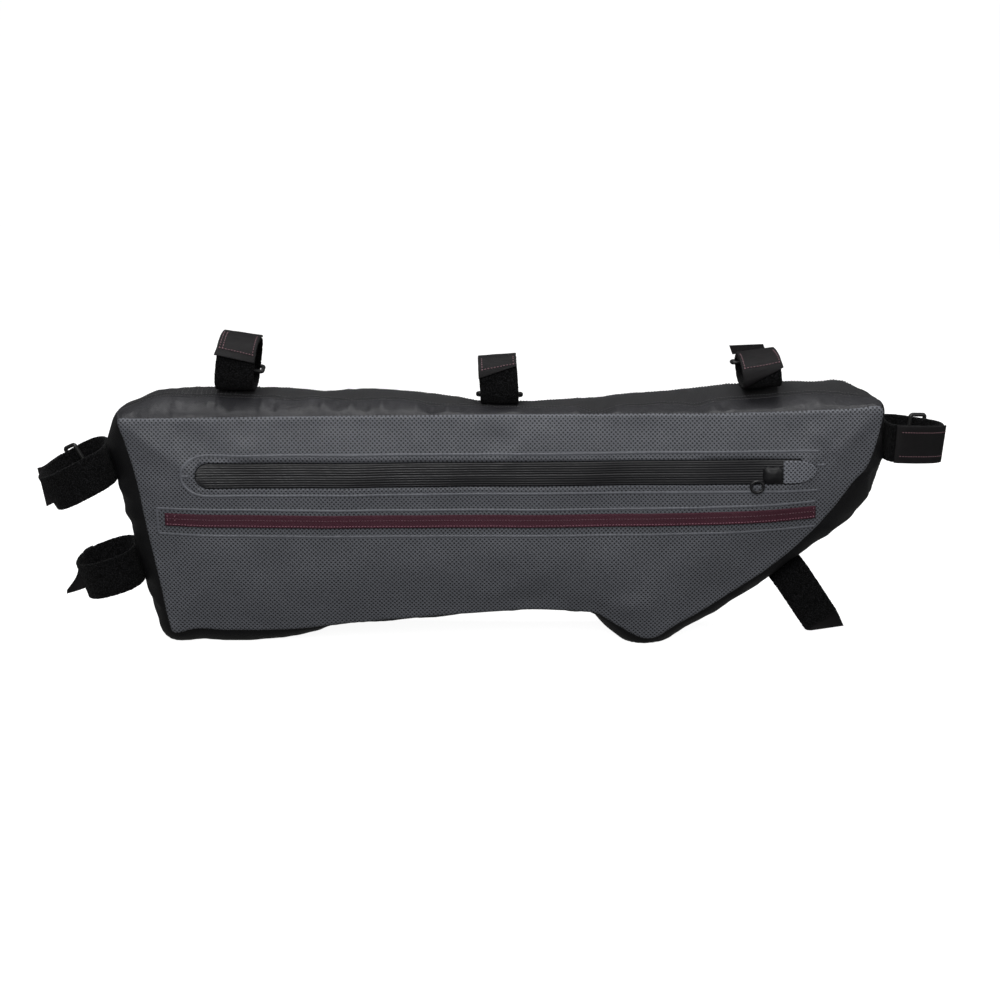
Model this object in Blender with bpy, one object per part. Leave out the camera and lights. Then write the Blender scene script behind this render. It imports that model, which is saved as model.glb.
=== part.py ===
"""Bicycle frame bag, standing on its lower edge: hollow cloth body, zip, and seven closed straps.

Metres, +Z up, +X along the bag, the zipped side faces -Y.
"""

import math

import bpy
import numpy as np
from mathutils import Vector, geometry

# Driving sizes
BAG_LENGTH = 0.472
BAG_HEIGHT = 0.156
BAG_DEPTH = 0.056
WALL = 0.002
GAP = 0.0003
GUSSET_BULGE = 0.012
PANEL_CROWN = 0.007
CROWN_REACH = 0.042
BACK_SAG = 0.0045
FRONT_STRIP_SHARE = 0.32
REAR_STRIP_SHARE = 0.70

ZIP_WIDTH = 0.0159
ZIP_STRIP_LENGTH = 0.3755
SLOT_START = 0.022
SLIDER_LENGTH = 0.0125
SLIDER_WIDTH = 0.011
SLIDER_HEIGHT = 0.0042
PULL_WIDTH = 0.0095
PULL_WIRE = 0.0018
PULL_REACH = 0.0097
PULL_DROP = 0.0072
GARAGE_START = 0.9705
GARAGE_LENGTH = 0.0205
GARAGE_WIDTH = 0.0142
TAB_SHEET = 0.0012

ACCENT_WIDTH = 0.0082

STRAP_WIDTH = 0.024
STRAP_THICK = 0.0024
END_TAB_THICK = 0.0011
RING_BAR = 0.0026

# Mesh steps
STATIONS = 112
PANEL_STEP = 0.0125
BACK_STEP = 0.018
LOOP_STATIONS = 28

# Seam outline of the side, clockwise from the top left corner.
# along and up are shares of the bag's length and height. front and back say how far the gusset stands
# out in its front and its back half, as shares of its bulge, and sag how low the back seam hangs.
TOP_EDGE = (
    # along, up, front, back, sag
    (0.001, 0.951, 0.34, 0.30, 0.20),
    (0.020, 0.953, 0.66, 0.62, 0.20),
    (0.045, 0.954, 0.98, 1.00, 0.20),
    (0.110, 0.957, 0.96, 1.10, 0.00),
    (0.180, 0.960, 0.82, 1.06, 0.00),
    (0.250, 0.963, 0.74, 0.99, 0.10),
    (0.333, 0.966, 0.64, 0.93, 0.30),
    (0.390, 0.967, 0.54, 0.80, 0.50),
    (0.439, 0.969, 0.36, 0.52, 0.70),
    (0.480, 0.970, 0.20, 0.26, 1.00),
    (0.529, 0.971, 0.14, 0.22, 1.00),
    (0.577, 0.972, 0.12, 0.32, 0.90),
    (0.630, 0.973, 0.10, 0.42, 0.70),
    (0.688, 0.974, 0.14, 0.60, 0.40),
    (0.730, 0.974, 0.20, 0.68, 0.20),
    (0.787, 0.975, 0.36, 0.90, 0.00),
    (0.867, 0.982, 0.54, 1.09, 0.00),
    (0.920, 0.988, 0.66, 0.98, 0.00),
    (0.962, 0.994, 0.40, 0.98, 0.00),
    (1.000, 0.999, 0.20, 0.10, 0.60),
)
DIAGONAL_EDGE = (
    (1.000, 0.930, 0.45, 0.45, 0.00),
    (0.991, 0.812, 0.85, 0.85, 0.00),
    (0.983, 0.751, 1.10, 1.10, 0.00),
    (0.969, 0.702, 1.70, 1.62, 0.00),
    (0.939, 0.574, 1.56, 1.48, 0.00),
    (0.901, 0.446, 1.10, 1.10, 0.00),
    (0.864, 0.346, 1.00, 1.00, 0.00),
    (0.811, 0.233, 1.00, 1.00, 0.00),
    (0.770, 0.150, 1.00, 1.00, 0.00),
    (0.736, 0.088, 1.00, 1.00, 0.00),
    (0.710, 0.038, 1.00, 1.00, 0.00),
)
BOTTOM_EDGE = (
    (0.692, 0.038, 1.10, 1.10, 0.00),
    (0.660, 0.090, 0.85, 0.85, 0.00),
    (0.630, 0.144, 0.48, 0.48, 0.00),
    (0.613, 0.150, 0.30, 0.30, 0.00),
    (0.543, 0.160, 0.36, 0.36, 0.00),
    (0.500, 0.152, 0.36, 0.36, 0.00),
    (0.365, 0.120, 0.46, 0.46, 0.00),
    (0.275, 0.094, 0.48, 0.48, 0.00),
    (0.232, 0.077, 0.90, 0.90, 0.00),
    (0.136, 0.071, 1.28, 1.28, 0.00),
    (0.090, 0.077, 1.28, 1.28, 0.00),
    (0.061, 0.060, 1.00, 1.00, 0.00),
)
LEFT_EDGE = (
    (0.055, 0.113, 1.05, 1.00, 0.00),
    (0.045, 0.288, 1.22, 1.15, 0.00),
    (0.033, 0.486, 1.32, 1.25, 0.00),
    (0.019, 0.735, 1.45, 1.35, 0.00),
    (0.0072, 0.869, 1.40, 1.26, 0.10),
)

# Folds across the top, as how far they sink its front and back half, in metres.
TOP_FOLDS = (
    # along, front, back, width
    (0.223, 0.0016, 0.0000, 0.008),
    (0.265, 0.0000, 0.0026, 0.012),
    (0.304, 0.0022, 0.0000, 0.008),
    (0.420, 0.0022, 0.0000, 0.012),
    (0.630, 0.0045, 0.0000, 0.010),
    (0.763, 0.0026, 0.0000, 0.008),
)

# Soft folds of the front panel, each a line between two points; a negative depth is a ridge.
# All ends are shares of length and height, depth and width are in metres.
PANEL_FOLDS = (
    # along_a, up_a, along_b, up_b, depth, width
    (0.080, 0.93, 0.130, 0.76, 0.0014, 0.0090),
    (0.130, 0.94, 0.175, 0.80, -0.0010, 0.0080),
    (0.480, 0.93, 0.520, 0.83, 0.0014, 0.0090),
    (0.680, 0.95, 0.735, 0.93, 0.0012, 0.0080),
    (0.470, 0.18, 0.545, 0.30, -0.0012, 0.0110),
    (0.640, 0.16, 0.700, 0.19, -0.0012, 0.0080),
    (0.930, 0.86, 0.910, 0.72, 0.0012, 0.0090),
)

# Centre lines of the zip and of the accent strip, as shares of length and height.
ZIP_LINE = ((0.100, 0.730), (0.500, 0.739), (0.895, 0.750))
ACCENT_LINE = ((0.059, 0.551), (0.276, 0.547), (0.685, 0.553), (0.842, 0.568), (0.917, 0.580))

# Closed straps. along and up give the spot of the seam where each one is sewn on beside it,
# turn is the angle in degrees between its run and the gusset's normal, roll the twist of its walls.
STRAPS = (
    # name, along, up, length, depth, turn, roll, taper, square
    ("top_left", 0.152, 0.96, 0.0315, 0.037, -7.0, 0.0, 0.95, 2.9),
    ("top_middle", 0.502, 0.97, 0.0268, 0.026, 6.0, 0.0, 0.90, 3.2),
    ("top_right", 0.850, 0.98, 0.0182, 0.040, 3.0, 0.0, 0.95, 2.8),
    ("left_upper", 0.018, 0.775, 0.0450, 0.041, 13.0, 8.0, 0.85, 2.5),
    ("left_lower", 0.040, 0.337, 0.0385, 0.037, 5.0, 8.0, 0.85, 2.5),
    ("right", 0.995, 0.850, 0.0362, 0.040, -3.0, 0.0, 0.42, 3.2),
    ("under", 0.873, 0.363, 0.0451, 0.011, -4.0, 0.0, 0.50, 2.4),
)

# Smooth end tabs. Angles run round the loop: 90 is its outer end, 180 the front wall, 0 the back wall.
# across is a share of half the strap's width on either side, lift the height off the loop in metres.
END_TABS = {
    "top_left": (
        # angle_a, across_a, lift_a, angle_b, across_b, lift_b
        (60, -1.00, 0.0000, 60, 1.00, 0.0000),
        (90, -1.00, 0.0000, 90, 1.00, 0.0000),
        (115, -1.00, 0.0000, 115, 1.00, 0.0000),
        (135, -1.02, 0.0000, 138, 1.00, 0.0000),
        (152, -1.04, 0.0006, 157, 1.00, 0.0000),
        (166, -1.10, 0.0026, 171, 1.00, 0.0006),
    ),
    "top_middle": (
        (60, -1.00, 0.0000, 60, 1.00, 0.0000),
        (90, -1.00, 0.0000, 90, 1.00, 0.0000),
        (115, -1.00, 0.0000, 115, 1.00, 0.0000),
        (140, -1.00, 0.0000, 128, 1.00, 0.0000),
        (171, -1.02, 0.0006, 145, 1.00, 0.0000),
    ),
    "top_right": (
        (72, -0.98, 0.0000, 72, 1.00, 0.0000),
        (90, -1.00, 0.0000, 90, 1.02, 0.0000),
        (110, -1.02, 0.0000, 110, 1.02, 0.0000),
        (130, -1.02, 0.0000, 130, 1.04, 0.0000),
        (160, -1.02, 0.0000, 150, 1.06, 0.0000),
        (205, -1.00, 0.0008, 168, 1.10, 0.0008),
    ),
    "left_upper": (
        (20, -1.00, 0.0000, 20, 1.00, 0.0000),
        (40, -1.00, 0.0000, 40, 1.00, 0.0000),
        (55, -1.00, 0.0006, 52, 1.00, 0.0004),
        (66, -0.98, 0.0040, 60, 1.02, 0.0016),
        (74, -0.93, 0.0105, 66, 1.10, 0.0036),
    ),
    "left_lower": (
        (30, -1.00, 0.0000, 30, 1.00, 0.0000),
        (55, -1.00, 0.0005, 52, 0.95, 0.0004),
        (70, -0.92, 0.0040, 66, 0.50, 0.0030),
        (78, -0.88, 0.0100, 76, -0.20, 0.0075),
        (80, -0.86, 0.0160, 80, -0.66, 0.0150),
    ),
    "right": (
        (110, -1.00, 0.0000, 110, 1.00, 0.0000),
        (126, -1.00, 0.0000, 126, 1.00, 0.0000),
        (150, -1.00, 0.0000, 150, 1.00, 0.0000),
        (180, -1.00, 0.0000, 180, 1.00, 0.0000),
        (216, -1.00, 0.0000, 216, 1.00, 0.0000),
    ),
    "under": (
        (40, -0.98, 0.0004, 40, 0.98, 0.0004),
        (62, -0.98, 0.0004, 62, 0.98, 0.0004),
        (78, -0.98, 0.0008, 78, 0.98, 0.0006),
        (84, -0.94, 0.0060, 84, 0.94, 0.0010),
        (86, -0.84, 0.0138, 86, 0.80, 0.0022),
    ),
}

# Loose end that stands up behind the top right loop, in the same columns as the end tabs.
REAR_FLAP = (
    (38, -1.10, 0.0000, 38, 0.66, 0.0000),
    (43, -1.16, 0.0026, 42, 0.62, 0.0018),
    (47, -1.22, 0.0054, 45, 0.58, 0.0036),
)

# Plastic rings: strap, angle round its loop, tilt in degrees.
RINGS = (
    ("top_left", 345, 25),
    ("top_middle", 312, 25),
    ("top_right", 12, -25),
    ("left_upper", 4, 50),
    ("right", 8, 50),
)


def clear_scene():
    for thing in list(bpy.data.objects):
        bpy.data.objects.remove(thing, do_unlink=True)


def cloth(name, colour, roughness):
    material = bpy.data.materials.new(name)
    material.use_nodes = True
    shader = material.node_tree.nodes["Principled BSDF"]
    shader.inputs["Base Color"].default_value = (*colour, 1.0)
    shader.inputs["Roughness"].default_value = roughness
    return material


def add_body(name, points, faces, material, smooth=True):
    mesh = bpy.data.meshes.new(name)
    mesh.from_pydata([tuple(p) for p in points], [], [tuple(f) for f in faces])
    mesh.update()
    mesh.materials.append(material)
    body = bpy.data.objects.new(name, mesh)
    bpy.context.scene.collection.objects.link(body)
    if smooth:
        mesh.shade_smooth()
    return body


# Curves

def smooth_rows(rows, steps, closed):
    """Catmull-Rom through rows of numbers, chord-length spaced so that close rows stay tight."""
    rows = np.array(rows, float)
    count = len(rows)
    spans = count if closed else count - 1
    out = []
    for i in range(spans):
        a = rows[(i - 1) % count] if closed or i > 0 else 2 * rows[0] - rows[1]
        b = rows[i]
        c = rows[(i + 1) % count]
        d = rows[(i + 2) % count] if closed or i + 2 < count else 2 * rows[-1] - rows[-2]
        knots = [0.0]
        for p, q in ((a, b), (b, c), (c, d)):
            knots.append(knots[-1] + max(np.linalg.norm((q - p)[:2]), 1e-6) ** 0.5)
        for k in range(steps):
            t = knots[1] + (knots[2] - knots[1]) * k / steps
            p1 = (a * (knots[1] - t) + b * (t - knots[0])) / (knots[1] - knots[0])
            p2 = (b * (knots[2] - t) + c * (t - knots[1])) / (knots[2] - knots[1])
            p3 = (c * (knots[3] - t) + d * (t - knots[2])) / (knots[3] - knots[2])
            q1 = (p1 * (knots[2] - t) + p2 * (t - knots[0])) / (knots[2] - knots[0])
            q2 = (p2 * (knots[3] - t) + p3 * (t - knots[1])) / (knots[3] - knots[1])
            out.append((q1 * (knots[2] - t) + q2 * (t - knots[1])) / (knots[2] - knots[1]))
    if not closed:
        out.append(rows[-1])
    return np.array(out)


def across_bag(along):
    return (along - 0.5) * BAG_LENGTH


def seam_rows():
    """Fine closed run of the seam: x, z, front and back push, sag in metres."""
    rows = []
    for along, up, front, back, sag in TOP_EDGE + DIAGONAL_EDGE + BOTTOM_EDGE + LEFT_EDGE:
        push = (front * GUSSET_BULGE, back * GUSSET_BULGE)
        rows.append((across_bag(along), up * BAG_HEIGHT, *push, sag * BACK_SAG))
    return smooth_rows(rows, 12, True)


def top_folds(x):
    """How far the folds sink the front and the back half of the top at x."""
    front = 0.0
    back = 0.0
    for along, front_depth, back_depth, width in TOP_FOLDS:
        near_fold = math.exp(-(((x - across_bag(along)) / width) ** 2))
        front += front_depth * near_fold
        back += back_depth * near_fold
    return front, back


def arc_shares(rows):
    steps = np.linalg.norm(np.roll(rows[:, :2], -1, axis=0) - rows[:, :2], axis=1)
    return np.concatenate([[0.0], np.cumsum(steps)]) / steps.sum()


class Seam:
    """The seam outline as a function of the share of its run."""

    def __init__(self):
        self.rows = seam_rows()
        self.shares = arc_shares(self.rows)
        self.loop = np.vstack([self.rows, self.rows[:1]])
        self.run = np.sum(np.linalg.norm(np.diff(self.loop[:, :2], axis=0), axis=1))
        corner = np.array([across_bag(1.0), BAG_HEIGHT])
        self.top_end = self.shares[np.argmin(np.linalg.norm(self.rows[:, :2] - corner, axis=1))]

    def at(self, share):
        share = share % 1.0
        return np.array([np.interp(share, self.shares, self.loop[:, k]) for k in range(5)])

    def nearest(self, x, z):
        return self.shares[np.argmin(np.linalg.norm(self.rows[:, :2] - np.array([x, z]), axis=1))]

    def normal(self, share, reach=0.004):
        run = self.at(share + reach)[:2] - self.at(share - reach)[:2]
        run /= np.linalg.norm(run)
        return np.array([-run[1], run[0]])

    def crest(self, share, reach, loop_rise):
        """Foot of a strap on the gusset beside a spot of the seam, and the normal there.

        reach is half the strap's width, and loop_rise gives how far its loop has lifted at a depth.
        """
        step = reach / self.run
        ends = [self.surface(share + k * step, 0.5)[[0, 2]] for k in (-1.0, 1.0)]
        run = (ends[1] - ends[0]) / np.linalg.norm(ends[1] - ends[0])
        normal = np.array([-run[1], run[0]])
        foot = self.surface(share, 0.5)[[0, 2]]
        rises = []
        for k in np.linspace(-1.0, 1.0, 9):
            for across in np.linspace(0.26, 0.74, 9):
                spot = self.surface(share + k * step, across)
                lifted = loop_rise(spot[1])
                rises.append(np.dot(spot[[0, 2]] - foot, normal) - lifted)
        return foot + normal * max(rises), normal

    def surface(self, share, across, inset=0.0):
        """Point of the gusset: across runs from the front seam (0) to the back seam (1)."""
        x, z, front, back, sag = self.at(share)
        nx, nz = self.normal(share)
        if share % 1.0 < self.top_end:
            front_sink, back_sink = top_folds(x)
            front -= front_sink
            back -= back_sink
        mix = min(max((across - 0.2) / 0.6, 0.0), 1.0)
        mix = mix * mix * (3.0 - 2.0 * mix)
        round_up = max(4.0 * across * (1.0 - across), 0.0) ** 0.72
        push = (front + (back - front) * mix) * round_up - inset
        y = (across - 0.5) * (BAG_DEPTH - 2.0 * GAP)
        z_here = z - sag * across ** 1.5 + nz * push
        return np.array([x + nx * push, y, max(z_here, inset)])


# Solids from grids and strips

def grid_solid(outer, inner, closed_ring=False):
    """Wall between two equal grids of points, closed round its rim."""
    rows = len(outer)
    cols = len(outer[0])
    points = [p for row in outer for p in row] + [p for row in inner for p in row]
    back = rows * cols
    faces = []
    spans = rows if closed_ring else rows - 1
    for i in range(spans):
        j = (i + 1) % rows
        for k in range(cols - 1):
            a = i * cols + k
            b = i * cols + k + 1
            c = j * cols + k + 1
            d = j * cols + k
            faces.append((a, d, c, b))
            faces.append((back + a, back + b, back + c, back + d))
        faces.append((i * cols, back + i * cols, back + j * cols, j * cols))
        last = cols - 1
        faces.append((i * cols + last, j * cols + last, back + j * cols + last, back + i * cols + last))
    if not closed_ring:
        for k in range(cols - 1):
            faces.append((k, k + 1, back + k + 1, back + k))
            a = (rows - 1) * cols + k
            faces.append((a, back + a, back + a + 1, a + 1))
    return points, faces


def strip_solid(rail_a, rail_b, thick, closed, columns=2):
    """Flat strip between two rails, thick towards both its faces."""
    rail_a = np.array(rail_a, float)
    rail_b = np.array(rail_b, float)
    count = len(rail_a)
    middle = (rail_a + rail_b) / 2.0
    top = []
    bottom = []
    for i in range(count):
        if closed:
            run = middle[(i + 1) % count] - middle[i - 1]
        else:
            run = middle[min(i + 1, count - 1)] - middle[max(i - 1, 0)]
        normal = np.cross(run, rail_b[i] - rail_a[i])
        normal /= np.linalg.norm(normal)
        row = [rail_a[i] + (rail_b[i] - rail_a[i]) * k / (columns - 1) for k in range(columns)]
        top.append([p + normal * thick / 2.0 for p in row])
        bottom.append([p - normal * thick / 2.0 for p in row])
    return grid_solid(top, bottom, closed)


def outward(points, faces):
    """Faces turned so that the volume is positive."""
    points = np.array(points, float)
    volume = 0.0
    for face in faces:
        for k in range(1, len(face) - 1):
            a, b, c = points[face[0]], points[face[k]], points[face[k + 1]]
            volume += np.dot(a, np.cross(b, c))
    if volume < 0:
        faces = [tuple(reversed(face)) for face in faces]
    return points, faces


def rim_edges(triangles):
    seen = set()
    for tri in triangles:
        for k in range(3):
            seen.add((tri[k], tri[(k + 1) % 3]))
    return [(a, b) for a, b in seen if (b, a) not in seen]


def inside(point, loop):
    x, z = point
    odd = False
    for i in range(len(loop)):
        xa, za = loop[i - 1]
        xb, zb = loop[i]
        if (za > z) != (zb > z) and x < (xb - xa) * (z - za) / (zb - za) + xa:
            odd = not odd
    return odd


def near(point, loop):
    """Distance from a point to a closed outline."""
    a = np.array(loop)
    b = np.roll(a, -1, axis=0)
    run = b - a
    t = np.clip(((point - a) * run).sum(1) / (run ** 2).sum(1), 0.0, 1.0)
    return np.linalg.norm(a + run * t[:, None] - point, axis=1).min()


def panel_mesh(outline, holes, step):
    """Flat triangles that fill an outline, less its holes."""
    points = [tuple(p) for p in outline]
    loops = [list(range(len(points)))]
    for hole in holes:
        first = len(points)
        points += [tuple(p) for p in hole]
        loops.append(list(range(first, len(points))))
    edges = []
    for loop in loops:
        edges += [(loop[i - 1], loop[i]) for i in range(len(loop))]
    xs, zs = np.array(outline).T
    row = 0
    z = zs.min() + step * 0.6
    while z < zs.max():
        x = xs.min() + step * (0.5 if row % 2 else 1.0)
        while x < xs.max():
            spot = np.array([x, z])
            clear = near(spot, outline) > step * 0.55 and inside(spot, outline)
            for hole in holes:
                clear = clear and near(spot, hole) > step * 0.4 and not inside(spot, hole)
            if clear:
                points.append((x, z))
            x += step
        z += step * 0.87
        row += 1
    flat = [Vector(p) for p in points]
    made = geometry.delaunay_2d_cdt(flat, edges, [], 0, 1e-7)
    spots = [np.array(p) for p in made[0]]
    triangles = []
    for tri in made[2]:
        middle = (spots[tri[0]] + spots[tri[1]] + spots[tri[2]]) / 3.0
        if inside(middle, outline) and not any(inside(middle, hole) for hole in holes):
            triangles.append(tuple(tri))
    return spots, triangles


def lifted_panel(spots, triangles, height, thick, side):
    """Panel with a thickness: height gives how far its face stands out, side is -1 in front."""
    faces = []
    points = []
    for x, z in spots:
        points.append((x, side * height(x, z), z))
    for x, z in spots:
        points.append((x, side * (height(x, z) - thick), z))
    back = len(spots)
    for a, b, c in triangles:
        faces.append((a, b, c))
        faces.append((back + a, back + c, back + b))
    for a, b in rim_edges(triangles):
        faces.append((b, a, back + a, back + b))
    return outward(points, faces)


# Heights of the front panel

def fold_height(x, z):
    total = 0.0
    for along_a, up_a, along_b, up_b, depth, width in PANEL_FOLDS:
        a = np.array([across_bag(along_a), up_a * BAG_HEIGHT])
        b = np.array([across_bag(along_b), up_b * BAG_HEIGHT])
        run = b - a
        t = np.clip(np.dot(np.array([x, z]) - a, run) / np.dot(run, run), 0.0, 1.0)
        off = np.linalg.norm(a + run * t - np.array([x, z]))
        total -= depth * math.exp(-((off / width) ** 2))
    return total


def panel_height(outline, folds):
    """How far a panel's outer face stands off the middle plane."""

    def height(x, z):
        far = min(near(np.array([x, z]), outline) / CROWN_REACH, 1.0)
        rise = math.sin(far * math.pi / 2.0) ** 1.15
        edge = min(far * 3.0, 1.0)
        shape = PANEL_CROWN * rise + (fold_height(x, z) * edge if folds else 0.0)
        return BAG_DEPTH / 2.0 + WALL + shape

    return height


def line_point(line, share):
    rows = [(across_bag(a), up * BAG_HEIGHT) for a, up in line]
    run = smooth_rows(rows, 8, False)
    steps = np.concatenate([[0.0], np.cumsum(np.linalg.norm(np.diff(run, axis=0), axis=1))])
    steps /= steps[-1]
    return np.array([np.interp(share, steps, run[:, k]) for k in range(2)])


def line_side(line, share):
    run = line_point(line, min(share + 0.01, 1.0)) - line_point(line, max(share - 0.01, 0.0))
    run /= np.linalg.norm(run)
    return run, np.array([-run[1], run[0]])


def slot_outline(width, trim):
    """Long slot with a rounded left end, trimmed by a clearance all round."""
    half = width / 2.0 - trim
    points = []
    for k in range(15):
        share = SLOT_START + (1.0 - SLOT_START) * k / 14.0
        run, side = line_side(ZIP_LINE, share)
        shift = trim * run if k == 14 else 0.0
        points.append(line_point(ZIP_LINE, share) - half * side - shift)
    upper = []
    for k in range(15):
        share = SLOT_START + (1.0 - SLOT_START) * k / 14.0
        run, side = line_side(ZIP_LINE, share)
        shift = trim * run if k == 14 else 0.0
        upper.append(line_point(ZIP_LINE, share) + half * side - shift)
    points += reversed(upper)
    run, side = line_side(ZIP_LINE, 0.0)
    centre = line_point(ZIP_LINE, SLOT_START)
    for k in range(1, 7):
        turn = math.pi * k / 7.0
        points.append(centre + half * (math.cos(turn) * side - math.sin(turn) * run))
    return points


# Body

def build_panels(seam, materials):
    outline = [seam.at(k / STATIONS)[:2] for k in range(STATIONS)]
    height = panel_height(outline, True)
    spots, triangles = panel_mesh(outline, [slot_outline(ZIP_WIDTH, 0.0)], PANEL_STEP)
    points, faces = lifted_panel(spots, triangles, height, WALL, -1)
    add_body("front_panel", points, faces, materials["panel"])
    back_outline = []
    for k in range(STATIONS):
        x, z, _, _, sag = seam.at(k / STATIONS)
        back_outline.append(np.array([x, z - sag]))
    plain = panel_height(back_outline, False)
    spots, triangles = panel_mesh(back_outline, [], BACK_STEP)
    points, faces = lifted_panel(spots, triangles, plain, WALL, 1)
    add_body("back_panel", points, faces, materials["panel"])
    return height


def gusset_piece(seam, name, start, end, low, high, columns, material):
    """Part of the gusset between two shares of its run and two shares across it."""
    count = max(int(round((end - start) * STATIONS)), 2)
    outer = []
    inner = []
    for i in range(count + 1):
        share = start + (end - start) * i / count
        outer_row = []
        inner_row = []
        for k in range(columns + 1):
            across = low + (high - low) * k / columns
            outer_row.append(seam.surface(share, across))
            inner_row.append(seam.surface(share, across, WALL))
        outer.append(outer_row)
        inner.append(inner_row)
    points, faces = grid_solid(outer, inner)
    points, faces = outward(points, faces)
    add_body(name, points, faces, material)


def build_gussets(seam, materials):
    break_gap = GAP / seam.run
    half = 0.5 * GAP / BAG_DEPTH
    gusset_piece(
        seam, "side_gusset", seam.top_end + break_gap, 1.0 - break_gap, 0.0, 1.0, 8, materials["gusset"]
    )
    strips = (
        ("top_front_strip", 0.0, FRONT_STRIP_SHARE - half, 3, "strip"),
        ("top_band", FRONT_STRIP_SHARE + half, REAR_STRIP_SHARE - half, 2, "band"),
        ("top_rear_strip", REAR_STRIP_SHARE + half, 1.0, 3, "strip"),
    )
    for name, low, high, columns, look in strips:
        gusset_piece(seam, name, 0.0, seam.top_end, low, high, columns, materials[look])


# Zip and accent strip

def build_zip(height, materials):
    inset = slot_outline(ZIP_WIDTH, GAP)
    spots, triangles = panel_mesh(inset, [], 0.012)
    points, faces = lifted_panel(spots, triangles, height, WALL, -1)
    add_body("zip_tape", points, faces, materials["zip"])


def on_panel(line, height, share, across, stand_off):
    spot = line_point(line, share) + line_side(line, share)[1] * across
    return np.array([spot[0], -(height(spot[0], spot[1]) + stand_off), spot[1]])


def build_accent(height, materials):
    lift = GAP + TAB_SHEET / 2.0
    rail_a = []
    rail_b = []
    for k in range(41):
        share = k / 40.0
        rail_a.append(on_panel(ACCENT_LINE, height, share, -ACCENT_WIDTH / 2.0, lift))
        rail_b.append(on_panel(ACCENT_LINE, height, share, ACCENT_WIDTH / 2.0, lift))
    points, faces = strip_solid(rail_a, rail_b, TAB_SHEET, False)
    points, faces = outward(points, faces)
    add_body("accent_strip", points, faces, materials["accent"])


def build_garage(height, materials):
    """Short tab over the closed end of the zip: straight hollow left edge, rounded right end."""
    lift = GAP + TAB_SHEET / 2.0
    start = GARAGE_START
    rail_a = []
    rail_b = []
    for k in range(9):
        share = k / 8.0
        reach = start + share * GARAGE_LENGTH / ZIP_STRIP_LENGTH
        half = GARAGE_WIDTH / 2.0 * math.sqrt(max(1.0 - max(share - 0.35, 0.0) ** 2 / 0.43, 0.02))
        spot_a = zip_spot(reach, -half)
        spot_b = zip_spot(reach, half)
        rail_a.append((spot_a[0], -(height(*spot_a) + lift), spot_a[1]))
        rail_b.append((spot_b[0], -(height(*spot_b) + lift), spot_b[1]))
    points, faces = strip_solid(rail_a, rail_b, TAB_SHEET, False, 3)
    points, faces = outward(points, faces)
    add_body("zip_garage", points, faces, materials["panel"])


def zip_spot(share, across):
    """Spot on the zip's centre line, also past its end."""
    run, side = line_side(ZIP_LINE, min(share, 1.0))
    over = max(share - 1.0, 0.0) * ZIP_STRIP_LENGTH
    return line_point(ZIP_LINE, min(share, 1.0)) + run * over + side * across


def build_slider(height, materials):
    """Slider body as a domed block, and the ring that hangs from it."""
    share = GARAGE_START - (SLIDER_LENGTH / 2.0 + GAP) / ZIP_STRIP_LENGTH
    centre = zip_spot(share, -0.0015)
    run, side = line_side(ZIP_LINE, share)
    face = height(*centre) + GAP
    rings = ((0.90, 0.0), (1.0, 0.25), (1.0, 0.65), (0.80, 1.0))
    points = []
    for scale, level in rings:
        for k in range(12):
            turn = 2.0 * math.pi * k / 12.0
            wide = math.copysign(abs(math.cos(turn)) ** 0.6, math.cos(turn))
            tall = math.copysign(abs(math.sin(turn)) ** 0.6, math.sin(turn))
            reach_run = wide * scale * SLIDER_LENGTH / 2.0
            reach_side = tall * scale * SLIDER_WIDTH / 2.0
            spot = centre + run * reach_run + side * reach_side
            points.append((spot[0], -(face + level * SLIDER_HEIGHT), spot[1]))
    faces = [tuple(range(11, -1, -1)), tuple(range(36, 48))]
    for ring in range(3):
        for k in range(12):
            a = ring * 12 + k
            b = ring * 12 + (k + 1) % 12
            faces.append((a, b, b + 12, a + 12))
    points, faces = outward(points, faces)
    add_body("zip_slider", points, faces, materials["plastic"])
    hang = centre - run * PULL_REACH - side * PULL_DROP
    level = height(*hang) + GAP + SLIDER_HEIGHT * 0.45
    loop = []
    for k in range(14):
        turn = 2.0 * math.pi * k / 14.0
        spot = hang + (run * math.cos(turn) + side * math.sin(turn) * 0.92) * (PULL_WIDTH - PULL_WIRE) / 2.0
        loop.append((spot[0], -level, spot[1]))
    points, faces = wire_ring(loop, PULL_WIRE / 2.0, 6)
    add_body("zip_pull", points, faces, materials["plastic"])


def wire_ring(path, radius, sides):
    """Round wire along a closed path."""
    path = np.array(path, float)
    count = len(path)
    flat = np.cross(path[count // 4] - path[0], path[count // 2] - path[0])
    flat /= np.linalg.norm(flat)
    points = []
    faces = []
    for i in range(count):
        run = path[(i + 1) % count] - path[i - 1]
        run /= np.linalg.norm(run)
        side = np.cross(run, flat)
        for k in range(sides):
            turn = 2.0 * math.pi * k / sides
            points.append(path[i] + radius * (math.cos(turn) * side + math.sin(turn) * flat))
    for i in range(count):
        j = (i + 1) % count
        for k in range(sides):
            m = (k + 1) % sides
            faces.append((i * sides + k, i * sides + m, j * sides + m, j * sides + k))
    return outward(points, faces)


# Straps

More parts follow.
